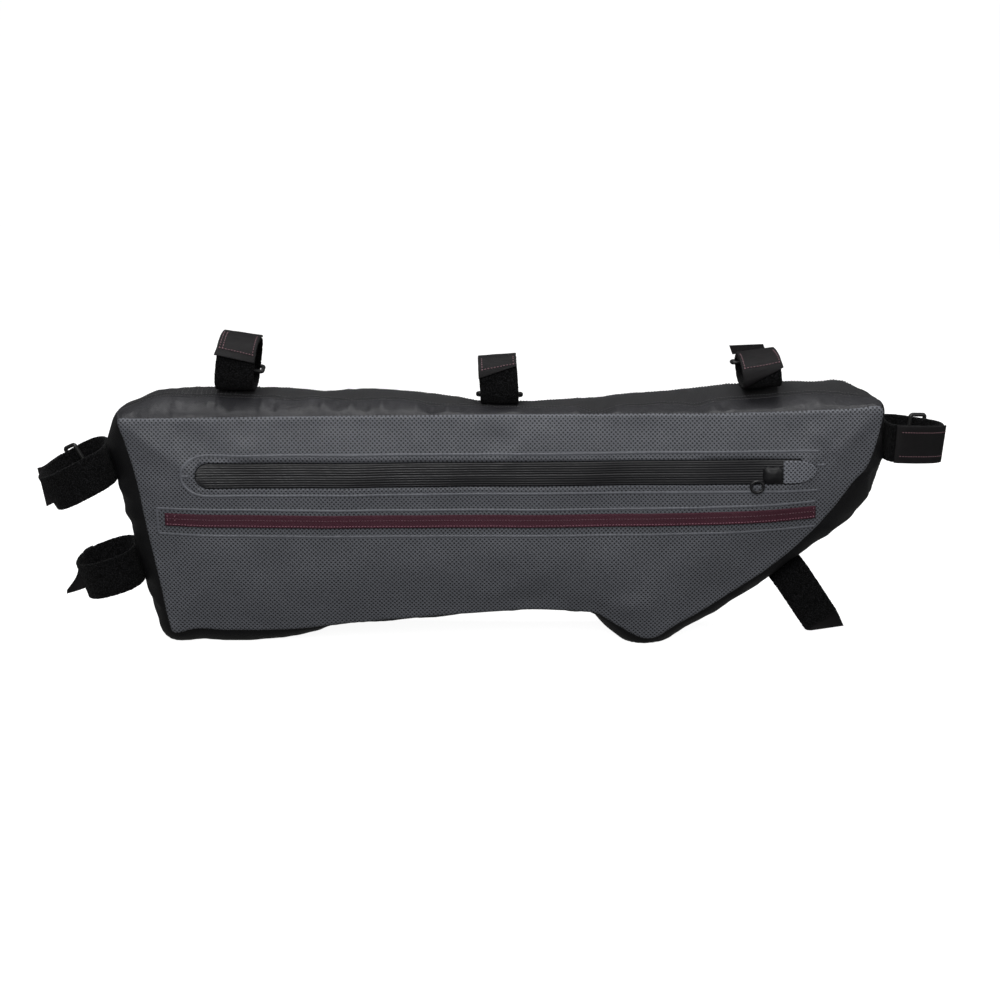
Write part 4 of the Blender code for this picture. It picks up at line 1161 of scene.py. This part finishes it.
class FrameBagLooks(bpy.types.PropertyGroup):
    """Colours and small sizes of the bag."""

    panel_colour: bpy.props.FloatVectorProperty(
        name="Panel Colour", description="Colour of the laminated sides",
        subtype="COLOR", size=4, min=0.0, max=1.0, default=(0.124, 0.129, 0.146, 1.0))
    gusset_colour: bpy.props.FloatVectorProperty(
        name="Gusset Colour", description="Colour of the band round the bag",
        subtype="COLOR", size=4, min=0.0, max=1.0, default=(0.012, 0.012, 0.014, 1.0))
    top_colour: bpy.props.FloatVectorProperty(
        name="Top Colour", description="Colour of the coated strips along the top",
        subtype="COLOR", size=4, min=0.0, max=1.0, default=(0.023, 0.023, 0.026, 1.0))
    accent_colour: bpy.props.FloatVectorProperty(
        name="Accent Colour", description="Colour of the strip sewn across the side",
        subtype="COLOR", size=4, min=0.0, max=1.0, default=(0.070, 0.011, 0.026, 1.0))
    accent_thread: bpy.props.FloatVectorProperty(
        name="Accent Thread", description="Colour of the thread on the accent strip",
        subtype="COLOR", size=4, min=0.0, max=1.0, default=(0.27, 0.11, 0.15, 1.0))
    tab_thread: bpy.props.FloatVectorProperty(
        name="Tab Thread", description="Colour of the thread on the strap ends",
        subtype="COLOR", size=4, min=0.0, max=1.0, default=(0.21, 0.11, 0.13, 1.0))
    dimple_pitch: bpy.props.FloatProperty(
        name="Dimple Pitch", description="Distance between two dimples of a row",
        subtype="DISTANCE", unit="LENGTH", min=0.001, max=0.01, default=0.0027)
    dimple_size: bpy.props.FloatProperty(
        name="Dimple Size", description="Radius of a dimple as a share of their distance",
        subtype="FACTOR", min=0.05, max=0.5, default=0.27)
    stitch_pitch: bpy.props.FloatProperty(
        name="Stitch Pitch", description="Distance from one stitch to the next",
        subtype="DISTANCE", unit="LENGTH", min=0.001, max=0.01, default=0.0019)
    stitch_width: bpy.props.FloatProperty(
        name="Stitch Width", description="Thickness of the sewing thread",
        subtype="DISTANCE", unit="LENGTH", min=0.0002, max=0.002, default=0.0006)
    pile_depth: bpy.props.FloatProperty(
        name="Pile Depth", description="How far the fibre of the straps stands up and down",
        subtype="DISTANCE", unit="LENGTH", min=0.0, max=0.001, default=0.00028)
    rib_count: bpy.props.IntProperty(
        name="Zip Ribs", description="Lengthwise ribs on each half of the zip",
        min=2, max=12, default=5)
    rib_height: bpy.props.FloatProperty(
        name="Rib Height", description="Height of the ribs of the zip",
        subtype="DISTANCE", unit="LENGTH", min=0.0, max=0.001, default=0.00025)


class BagOperator:
    """Shared by the operators that build a piece."""

    bl_options = {"REGISTER", "UNDO"}


class FRAMEBAG_OT_panels(BagOperator, bpy.types.Operator):
    """Builds the two laminated sides"""

    bl_idname = "framebag.panels"
    bl_label = "Sides"

    def execute(self, context):
        looks = context.scene.frame_bag
        grey = laminate(looks, "grey_laminate", looks.panel_colour)
        hole = np.array(slot_outline(ZIP_WIDTH, 0.0))
        panel_piece("front_side", OUTLINE, hole, 0.0026, -1.0, True, FRONT_SEED, grey, "front_panel")
        back = outline_points(300, True)
        panel_piece("back_side", back, None, 0.0045, 1.0, False, 31.0, grey, "back_panel")
        self.report({"INFO"}, "Sides built")
        return {"FINISHED"}


class FRAMEBAG_OT_gussets(BagOperator, bpy.types.Operator):
    """Builds the band round the bag and the three strips along its top"""

    bl_idname = "framebag.gussets"
    bl_label = "Gussets"

    def execute(self, context):
        looks = context.scene.frame_bag
        nylon = woven("black_nylon", shade(looks.gusset_colour, 0.5), 0.38, 0.0009, 0.00022, 0.0, 0.36)
        shiny = coated("coated_nylon", looks.top_colour, 0.46)
        band = woven("black_band", looks.gusset_colour, 0.62, 0.0012, 0.0004)
        edge = GAP / SEAM.run
        half = 0.5 * GAP / BAG_DEPTH
        gusset_skin("round_gusset", SEAM.top_end + edge, 1.0 - edge, 0.0, 1.0, 34, nylon, "side_gusset")
        gusset_skin("top_front", 0.0, SEAM.top_end, 0.0, FRONT_STRIP_SHARE - half, 18, shiny,
                    "top_front_strip")
        gusset_skin("top_middle", 0.0, SEAM.top_end, FRONT_STRIP_SHARE + half, REAR_STRIP_SHARE - half, 14, band,
                    "top_band")
        gusset_skin("top_rear", 0.0, SEAM.top_end, REAR_STRIP_SHARE + half, 1.0, 16, shiny,
                    "top_rear_strip")
        self.sew(looks)
        return {"FINISHED"}

    def sew(self, looks):
        """Seam stitches beside the middle band and the bar tack at its left end."""
        grey = thread("grey_thread", (0.060, 0.060, 0.064, 1.0))
        paths = []
        for across in (FRONT_STRIP_SHARE - 0.035, FRONT_STRIP_SHARE + 0.035, REAR_STRIP_SHARE + 0.035):
            paths.append([top_spot(share, across) for share in np.linspace(0.01, SEAM.top_end - 0.01, 240)])
        for share in np.linspace(0.030, 0.062, 13):
            paths.append([top_spot(share, across) for across in
                          np.linspace(FRONT_STRIP_SHARE + 0.03, FRONT_STRIP_SHARE + 0.20, 8)])
        stitch_piece("top_stitches", paths, grey, looks.stitch_pitch, looks.stitch_pitch * 0.7,
                     looks.stitch_width * 0.9)


class FRAMEBAG_OT_zip(BagOperator, bpy.types.Operator):
    """Builds the ribbed zip, its slider and ring, and the tab at its closed end"""

    bl_idname = "framebag.zip"
    bl_label = "Zip"

    def execute(self, context):
        looks = context.scene.frame_bag
        rubber = moulded("zip_strip", (0.007, 0.007, 0.0085, 1.0), 0.42)
        plastic = moulded("black_plastic", (0.012, 0.012, 0.013, 1.0), 0.32)
        self.strip(looks, rubber)
        # Painted light: the tab at the zip's closed end is the side's own laminate, made 1.45 times lighter as a
        # painted highlight on its raised face.
        self.garage(laminate(looks, "garage_laminate_painted_light", shade(looks.panel_colour, 1.45)))
        self.slider(plastic, moulded("slider_black", (0.005, 0.005, 0.006, 1.0), 0.5))
        return {"FINISHED"}

    def strip(self, looks, material):
        reach = ZIP_WIDTH / 2.0 - GAP
        count = 300
        first = SLOT_START - (reach - 0.0001) / ZIP_STRIP_LENGTH
        shares = [first + (0.999 - first) * (k / count) for k in range(count + 1)]
        columns = 8 * looks.rib_count
        flat = []
        rise = []
        for share in shares:
            inner = max(share, 0.0)
            run, side = line_side(ZIP_LINE, inner)
            spot = line_point(ZIP_LINE, inner) + run * (share - inner) * ZIP_STRIP_LENGTH
            over = max(SLOT_START - share, 0.0) * ZIP_STRIP_LENGTH
            half = math.sqrt(max(reach ** 2 - over ** 2, 1e-8))
            for k in range(columns + 1):
                across = half * (2.0 * k / columns - 1.0)
                flat.append(spot + side * across)
                rise.append(self.rib(looks, across / reach) - 0.0009 * max(abs(across) / half - 0.93, 0.0) / 0.07)
        faces = on_face(flat, 0.0)
        faces[:, 1] -= np.array(rise)
        wide = columns + 1
        sections = []
        for i in range(count + 1):
            row = faces[i * wide:(i + 1) * wide]
            back = row[::-4].copy()
            back[:, 1] += WALL + np.array(rise)[i * wide:(i + 1) * wide][::-4]
            sections.append(np.vstack([row, back]))
        points, polygons, uvs = sweep(sections)
        add_piece("zip_ribs", points, polygons, material, uvs, ("zip_tape",))

    def rib(self, looks, place):
        """Rise of the ribbed strip at a place across it, -1 to 1."""
        wave = abs(math.sin(place * math.pi * looks.rib_count)) ** 0.7
        groove = 0.0005 * math.exp(-((place / 0.035) ** 2))
        return looks.rib_height * wave - groove + 0.0002

    def garage(self, material):
        rail_a = []
        rail_b = []
        for k in range(25):
            share = k / 24.0
            reach = GARAGE_START + share * GARAGE_LENGTH / ZIP_STRIP_LENGTH
            half = GARAGE_WIDTH / 2.0 * math.sqrt(max(1.0 - max(share - 0.35, 0.0) ** 2 / 0.43, 0.02))
            rail_a.append(zip_spot(reach, -half))
            rail_b.append(zip_spot(reach, half))
        lift = GAP + TAB_SHEET / 2.0
        sections = ribbon(on_face(rail_a, lift), on_face(rail_b, lift), TAB_SHEET, 0.0005, 12)
        points, faces, uvs = sweep(sections)
        add_piece("zip_end_tab", points, faces, material, uvs, ("zip_garage",))

    def slider(self, plastic, dark):
        share = GARAGE_START - (SLIDER_LENGTH / 2.0 + GAP) / ZIP_STRIP_LENGTH
        centre = zip_spot(share, -0.0015)
        run, side = line_side(ZIP_LINE, share)
        face = float(-on_face([centre], GAP)[0][1])
        levels = ((0.86, 0.0), (0.94, 0.04), (1.0, 0.14), (1.0, 0.34), (0.93, 0.55), (0.78, 0.74), (0.55, 0.90), (0.25, 1.0))
        sections = []
        for scale, level in levels:
            ring = []
            for k in range(40):
                turn = 2.0 * math.pi * k / 40.0
                wide = math.copysign(abs(math.cos(turn)) ** 0.55, math.cos(turn)) * SLIDER_LENGTH / 2.0
                tall = math.copysign(abs(math.sin(turn)) ** 0.55, math.sin(turn)) * SLIDER_WIDTH / 2.0
                waist = 1.0 - 0.12 * math.exp(-((wide / 0.0022) ** 2))
                spot = centre + (run * wide + side * tall * waist) * scale
                ring.append((spot[0], -(face + level * SLIDER_HEIGHT), spot[1]))
            sections.append(ring)
        points, faces, uvs = sweep(sections)
        add_piece("zip_slider_body", points, faces, dark, uvs, ("zip_slider",))
        hang = centre - run * PULL_REACH - side * PULL_DROP
        level = float(-on_face([hang], GAP + SLIDER_HEIGHT * 0.45)[0][1])
        loop = []
        for k in range(48):
            turn = 2.0 * math.pi * k / 48.0
            spot = hang + (run * math.cos(turn) + side * math.sin(turn) * 0.92) * (PULL_WIDTH - PULL_WIRE) / 2.0
            loop.append((spot[0], -level, spot[1]))
        points, faces, uvs = sweep(wire_ring(loop, PULL_WIRE / 2.0, 14), True)
        add_piece("zip_ring", points, faces, plastic, uvs, ("zip_pull",))


class FRAMEBAG_OT_accent(BagOperator, bpy.types.Operator):
    """Builds the accent strip, its stitches and the welded lines on the side"""

    bl_idname = "framebag.accent"
    bl_label = "Accent Strip"

    def execute(self, context):
        looks = context.scene.frame_bag
        ribbon_look = woven("maroon_ribbon", looks.accent_colour, 0.62, 0.0011, 0.00035)
        lift = GAP + TAB_SHEET / 2.0
        rail_a = on_face(along_line(ACCENT_LINE, 0.0, 1.0, -ACCENT_WIDTH / 2.0), lift)
        rail_b = on_face(along_line(ACCENT_LINE, 0.0, 1.0, ACCENT_WIDTH / 2.0), lift)
        points, faces, uvs = sweep(ribbon(rail_a, rail_b, TAB_SHEET, 0.0005, 8))
        add_piece("accent_ribbon", points, faces, ribbon_look, uvs, ("accent_strip",))
        self.sew(looks)
        self.welds(looks)
        return {"FINISHED"}

    def sew(self, looks):
        top = GAP + TAB_SHEET + looks.stitch_width * 0.2
        low = on_face(along_line(ACCENT_LINE, 0.004, 0.997, -ACCENT_WIDTH * 0.35), top)
        high = on_face(along_line(ACCENT_LINE, 0.004, 0.997, ACCENT_WIDTH * 0.09), top)
        ends = [on_face([line_point(ACCENT_LINE, share) + line_side(ACCENT_LINE, share)[1] * a
                         for a in np.linspace(-ACCENT_WIDTH * 0.34, ACCENT_WIDTH * 0.30, 6)], top)
                for share in (0.004, 0.016, 0.997)]
        pink = thread("accent_thread", looks.accent_thread)
        stitch_piece("accent_stitches", [low, *ends], pink, looks.stitch_pitch,
                     looks.stitch_pitch * 0.72, looks.stitch_width)
        faint = thread("faint_thread", shade(looks.accent_thread, 0.5))
        stitch_piece("upper_accent_stitches", [high], faint, looks.stitch_pitch,
                     looks.stitch_pitch * 0.72, looks.stitch_width)

    def welds(self, looks):
        """Raised lines round the zip and above and below the accent strip."""
        light = moulded("weld_line", shade(looks.panel_colour, 0.95), 0.5)
        round_zip = []
        half = ZIP_WELD_REACH
        end = GARAGE_START + (GARAGE_LENGTH + 0.0015) / ZIP_STRIP_LENGTH
        round_zip += along_line(ZIP_LINE, 0.02, end, -half)
        left = []
        run, side = line_side(ZIP_LINE, 0.0)
        centre = line_point(ZIP_LINE, 0.02)
        for k in range(1, 20):
            turn = math.pi * k / 20.0
            left.append(centre + half * (math.cos(turn) * side - 1.25 * math.sin(turn) * run))
        upper = along_line(ZIP_LINE, 0.02, end, half)
        paths = [list(reversed(upper)) + left + round_zip]
        above = along_line(ACCENT_LINE, -0.012, 1.0, ACCENT_WELD_ABOVE)
        below = along_line(ACCENT_LINE, -0.012, 1.0, -ACCENT_WELD_BELOW)
        side_run = [above[0] + (below[0] - above[0]) * k / 8.0 for k in range(1, 8)]
        paths.append(list(reversed(above)) + side_run + below)
        paths.append([centre - run * (half * 1.25 - 0.0010 * k) for k in range(-1, 6)])
        paths.append([zip_spot(end + (0.0010 * k - 0.0012) / ZIP_STRIP_LENGTH, 0.0036) for k in range(7)])
        for number, path in enumerate(paths):
            spots = on_face(path, 0.0)
            sections = []
            for i in range(len(spots)):
                way = spots[min(i + 1, len(spots) - 1)] - spots[max(i - 1, 0)]
                way /= np.linalg.norm(way)
                up = np.array([0.0, -1.0, 0.0])
                wide = np.cross(way, up)
                ring = [spots[i] + wide * 0.00095 * math.cos(t) + up * (0.00044 * math.sin(t) - 0.00012)
                        for t in np.linspace(0.0, 2.0 * math.pi, 8, endpoint=False)]
                sections.append(ring)
            points, faces, uvs = sweep(sections)
            add_piece(("zip_weld", "accent_weld", "left_crease", "right_crease")[number], points, faces, light, uvs, ())


class FRAMEBAG_OT_straps(BagOperator, bpy.types.Operator):
    """Builds the seven hook-and-loop straps with their smooth ends, stitches and rings"""

    bl_idname = "framebag.straps"
    bl_label = "Straps"

    def execute(self, context):
        looks = context.scene.frame_bag
        fibre = pile("loop_pile", (0.0045, 0.0045, 0.0048, 1.0))
        smooth = woven("smooth_tab", (0.0075, 0.0065, 0.0075, 1.0), 0.5, 0.0008, 0.0002, 0.0, 0.22)
        plastic = bpy.data.materials.get("black_plastic") or moulded("black_plastic", (0.012, 0.012, 0.013, 1.0), 0.32)
        straps = {row[0]: Strap(SEAM, row) for row in STRAPS}
        for number, strap in enumerate(straps.values()):
            self.loop(strap, looks, fibre, number)
            self.end_tab(strap, END_TABS[strap.name], "tab_" + strap.name, smooth)
        self.end_tab(straps["top_right"], REAR_FLAP, "flap_top_right", smooth)
        for name, angle, tilt in RINGS:
            self.ring(straps[name], angle, tilt, plastic)
        self.sew(straps, looks)
        return {"FINISHED"}

    def loop(self, strap, looks, material, number):
        half = STRAP_WIDTH / 2.0
        rail_a = []
        rail_b = []
        for angle in even_angles(strap, 300):
            rise, depth = strap.loop_point(angle)
            rail_a.append(strap.place(rise, depth, -half))
            rail_b.append(strap.place(rise, depth, half))

        def fuzz(run, across, up):
            coarse = ripple(run, across, up, 420.0, 5.0 + number)
            fine = ripple(run, across, up, 1300.0, 11.0 + number)
            return looks.pile_depth * (0.55 * coarse + 0.65 * fine)

        sections = ribbon(rail_a, rail_b, STRAP_THICK - 0.0003, 0.0009, 40, True, fuzz)
        points, faces, uvs = sweep(sections, True)
        add_piece("loop_" + strap.name, points, faces, material, uvs, ("strap_" + strap.name,))

    def end_tab(self, strap, rows, node, material):
        base = STRAP_THICK / 2.0 + GAP + END_TAB_THICK / 2.0
        rail_a = []
        rail_b = []
        for angle_a, across_a, lift_a, angle_b, across_b, lift_b in smooth_rows(rows, 16, False):
            rise, depth = strap.lifted(angle_a, base + lift_a)
            rail_a.append(strap.place(rise, depth, across_a * STRAP_WIDTH / 2.0))
            rise, depth = strap.lifted(angle_b, base + lift_b)
            rail_b.append(strap.place(rise, depth, across_b * STRAP_WIDTH / 2.0))

        def wave(run, across, up):
            return ripple(run, across, up, 160.0, 3.0) * 0.00012

        sections = ribbon(rail_a, rail_b, END_TAB_THICK, 0.0005, 22, False, wave)
        points, faces, uvs = sweep(sections)
        add_piece("smooth_" + node, points, faces, material, uvs, (node,))

    def ring(self, strap, angle, tilt, material):
        rise, depth = strap.loop_point(angle)
        rise_b, depth_b = strap.loop_point(angle + 3.0)
        tilt = math.radians(tilt)
        along = strap.place(rise_b, depth_b, 0.0) - strap.place(rise, depth, 0.0)
        along /= np.linalg.norm(along)
        wide = strap.place(rise, depth, 1.0) - strap.place(rise, depth, 0.0)
        wide /= np.linalg.norm(wide)
        out = np.cross(along, wide)
        up = out * math.cos(tilt) + along * math.sin(tilt)
        slot = STRAP_THICK / math.cos(tilt) + RING_BAR * abs(math.tan(tilt)) + 3.4 * GAP
        half_wide = STRAP_WIDTH / 2.0 + 1.4 * GAP + RING_BAR / 2.0
        half_tall = slot / 2.0 + RING_BAR / 2.0
        corner = 0.0016
        path = []
        for cx, cz, start in ((1, 1, 0), (-1, 1, 90), (-1, -1, 180), (1, -1, 270)):
            for step in range(9):
                turn = math.radians(start + 90.0 * step / 8.0)
                x = cx * (half_wide - corner) + corner * math.cos(turn)
                z = cz * (half_tall - corner) + corner * math.sin(turn)
                path.append(strap.place(rise, depth, 0.0) + wide * x + up * z)
        points, faces, uvs = sweep(wire_ring(path, RING_BAR / 2.0, 14), True)
        add_piece("ring_of_" + strap.name, points, faces, material, uvs, ("ring_" + strap.name,))

    def sew(self, straps, looks):
        dusky = thread("tab_thread", looks.tab_thread)
        lift = STRAP_THICK / 2.0 + GAP + END_TAB_THICK + looks.stitch_width * 0.2
        paths = []
        for name, rows in TAB_STITCHES:
            strap = straps[name]
            path = []
            for angle, across, extra in smooth_rows(rows, 8, False):
                rise, depth = strap.lifted(angle, lift + extra)
                path.append(strap.place(rise, depth, across * STRAP_WIDTH / 2.0))
            paths.append(path)
        stitch_piece("tab_stitches", paths, dusky, looks.stitch_pitch * 0.95, looks.stitch_pitch * 0.72,
                     looks.stitch_width)


class FRAMEBAG_OT_stage(BagOperator, bpy.types.Operator):
    """Sets the white floor, the soft light and the camera"""

    bl_idname = "framebag.stage"
    bl_label = "Stage"

    def execute(self, context):
        scene = context.scene
        self.floor()
        world = bpy.data.worlds.new("Pale studio")
        world.use_nodes = True
        world.node_tree.nodes["Background"].inputs["Color"].default_value = (1.0, 1.0, 1.0, 1.0)
        world.node_tree.nodes["Background"].inputs["Strength"].default_value = 0.10
        scene.world = world
        self.lamp("Front light", (-0.25, -1.5, 1.0), 0.9, 16.5)
        self.lamp("Top light", (0.0, 0.0, 1.3), 1.1, 12.0)
        self.lamp("Right light", (1.3, -0.5, 0.6), 0.7, 3.0)
        data = bpy.data.cameras.new("Camera")
        data.lens = 64.6
        data.sensor_width = 36.0
        data.clip_start = 0.05
        camera = bpy.data.objects.new("Camera", data)
        target = Vector((0.0083, 0.0022, 0.0892))
        lean = math.radians(15.0)
        back = Vector((0.0, -math.cos(lean), math.sin(lean)))
        camera.location = target + back * 1.15
        camera.rotation_euler = (-back).to_track_quat("-Z", "Y").to_euler()
        scene.collection.objects.link(camera)
        scene.camera = camera
        scene.view_settings.view_transform = "Standard"
        return {"FINISHED"}

    def floor(self):
        """Floor that curves up into a backdrop."""
        rows = []
        for k in range(25):
            turn = math.radians(90.0 * k / 24.0)
            rows.append((2.4 + 1.2 * math.sin(turn), 1.2 - 1.2 * math.cos(turn)))
        rows = [(-4.0, 0.0)] + rows + [(3.6, 5.0)]
        points = [(x, y, z) for y, z in rows for x in (-5.0, 5.0)]
        faces = [(2 * k, 2 * k + 1, 2 * k + 3, 2 * k + 2) for k in range(len(rows) - 1)]
        mesh = bpy.data.meshes.new("Floor")
        mesh.from_pydata(points, [], faces)
        mesh.shade_smooth()
        material, tree, shader = new_look("white_floor", 0.9)
        shader.inputs["Base Color"].default_value = (0.45, 0.45, 0.45, 1.0)
        shader.inputs["Emission Color"].default_value = (1.0, 1.0, 1.0, 1.0)
        shader.inputs["Emission Strength"].default_value = 0.93
        mesh.materials.append(material)
        floor = bpy.data.objects.new("Floor", mesh)
        bpy.context.scene.collection.objects.link(floor)
        floor.visible_diffuse = False
        floor.visible_glossy = False

    def lamp(self, name, place, size, power):
        data = bpy.data.lights.new(name, "AREA")
        data.size = size
        data.energy = power
        lamp = bpy.data.objects.new(name, data)
        lamp.location = place
        lamp.rotation_euler = (Vector((0.0, 0.0, 0.08)) - Vector(place)).to_track_quat("-Z", "Y").to_euler()
        bpy.context.scene.collection.objects.link(lamp)


class FRAMEBAG_PT_panel(bpy.types.Panel):
    """Lists the steps that build the bag"""

    bl_idname = "FRAMEBAG_PT_panel"
    bl_label = "Frame Bag"
    bl_space_type = "VIEW_3D"
    bl_region_type = "UI"
    bl_category = "Frame Bag"

    def draw(self, context):
        looks = context.scene.frame_bag
        for name in looks.__annotations__:
            self.layout.prop(looks, name)
        for step in STEPS:
            self.layout.operator(step.bl_idname)


STEPS = (
    FRAMEBAG_OT_panels,
    FRAMEBAG_OT_gussets,
    FRAMEBAG_OT_zip,
    FRAMEBAG_OT_accent,
    FRAMEBAG_OT_straps,
    FRAMEBAG_OT_stage,
)
CLASSES = (FrameBagLooks, *STEPS, FRAMEBAG_PT_panel)


def register():
    for item in CLASSES:
        bpy.utils.register_class(item)
    bpy.types.Scene.frame_bag = bpy.props.PointerProperty(type=FrameBagLooks)


def unregister():
    del bpy.types.Scene.frame_bag
    for item in reversed(CLASSES):
        bpy.utils.unregister_class(item)


def main():
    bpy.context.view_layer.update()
    register()
    bpy.ops.framebag.panels()
    bpy.ops.framebag.gussets()
    bpy.ops.framebag.zip()
    bpy.ops.framebag.accent()
    bpy.ops.framebag.straps()
    bpy.ops.framebag.stage()


if __name__ == "__main__":
    main()
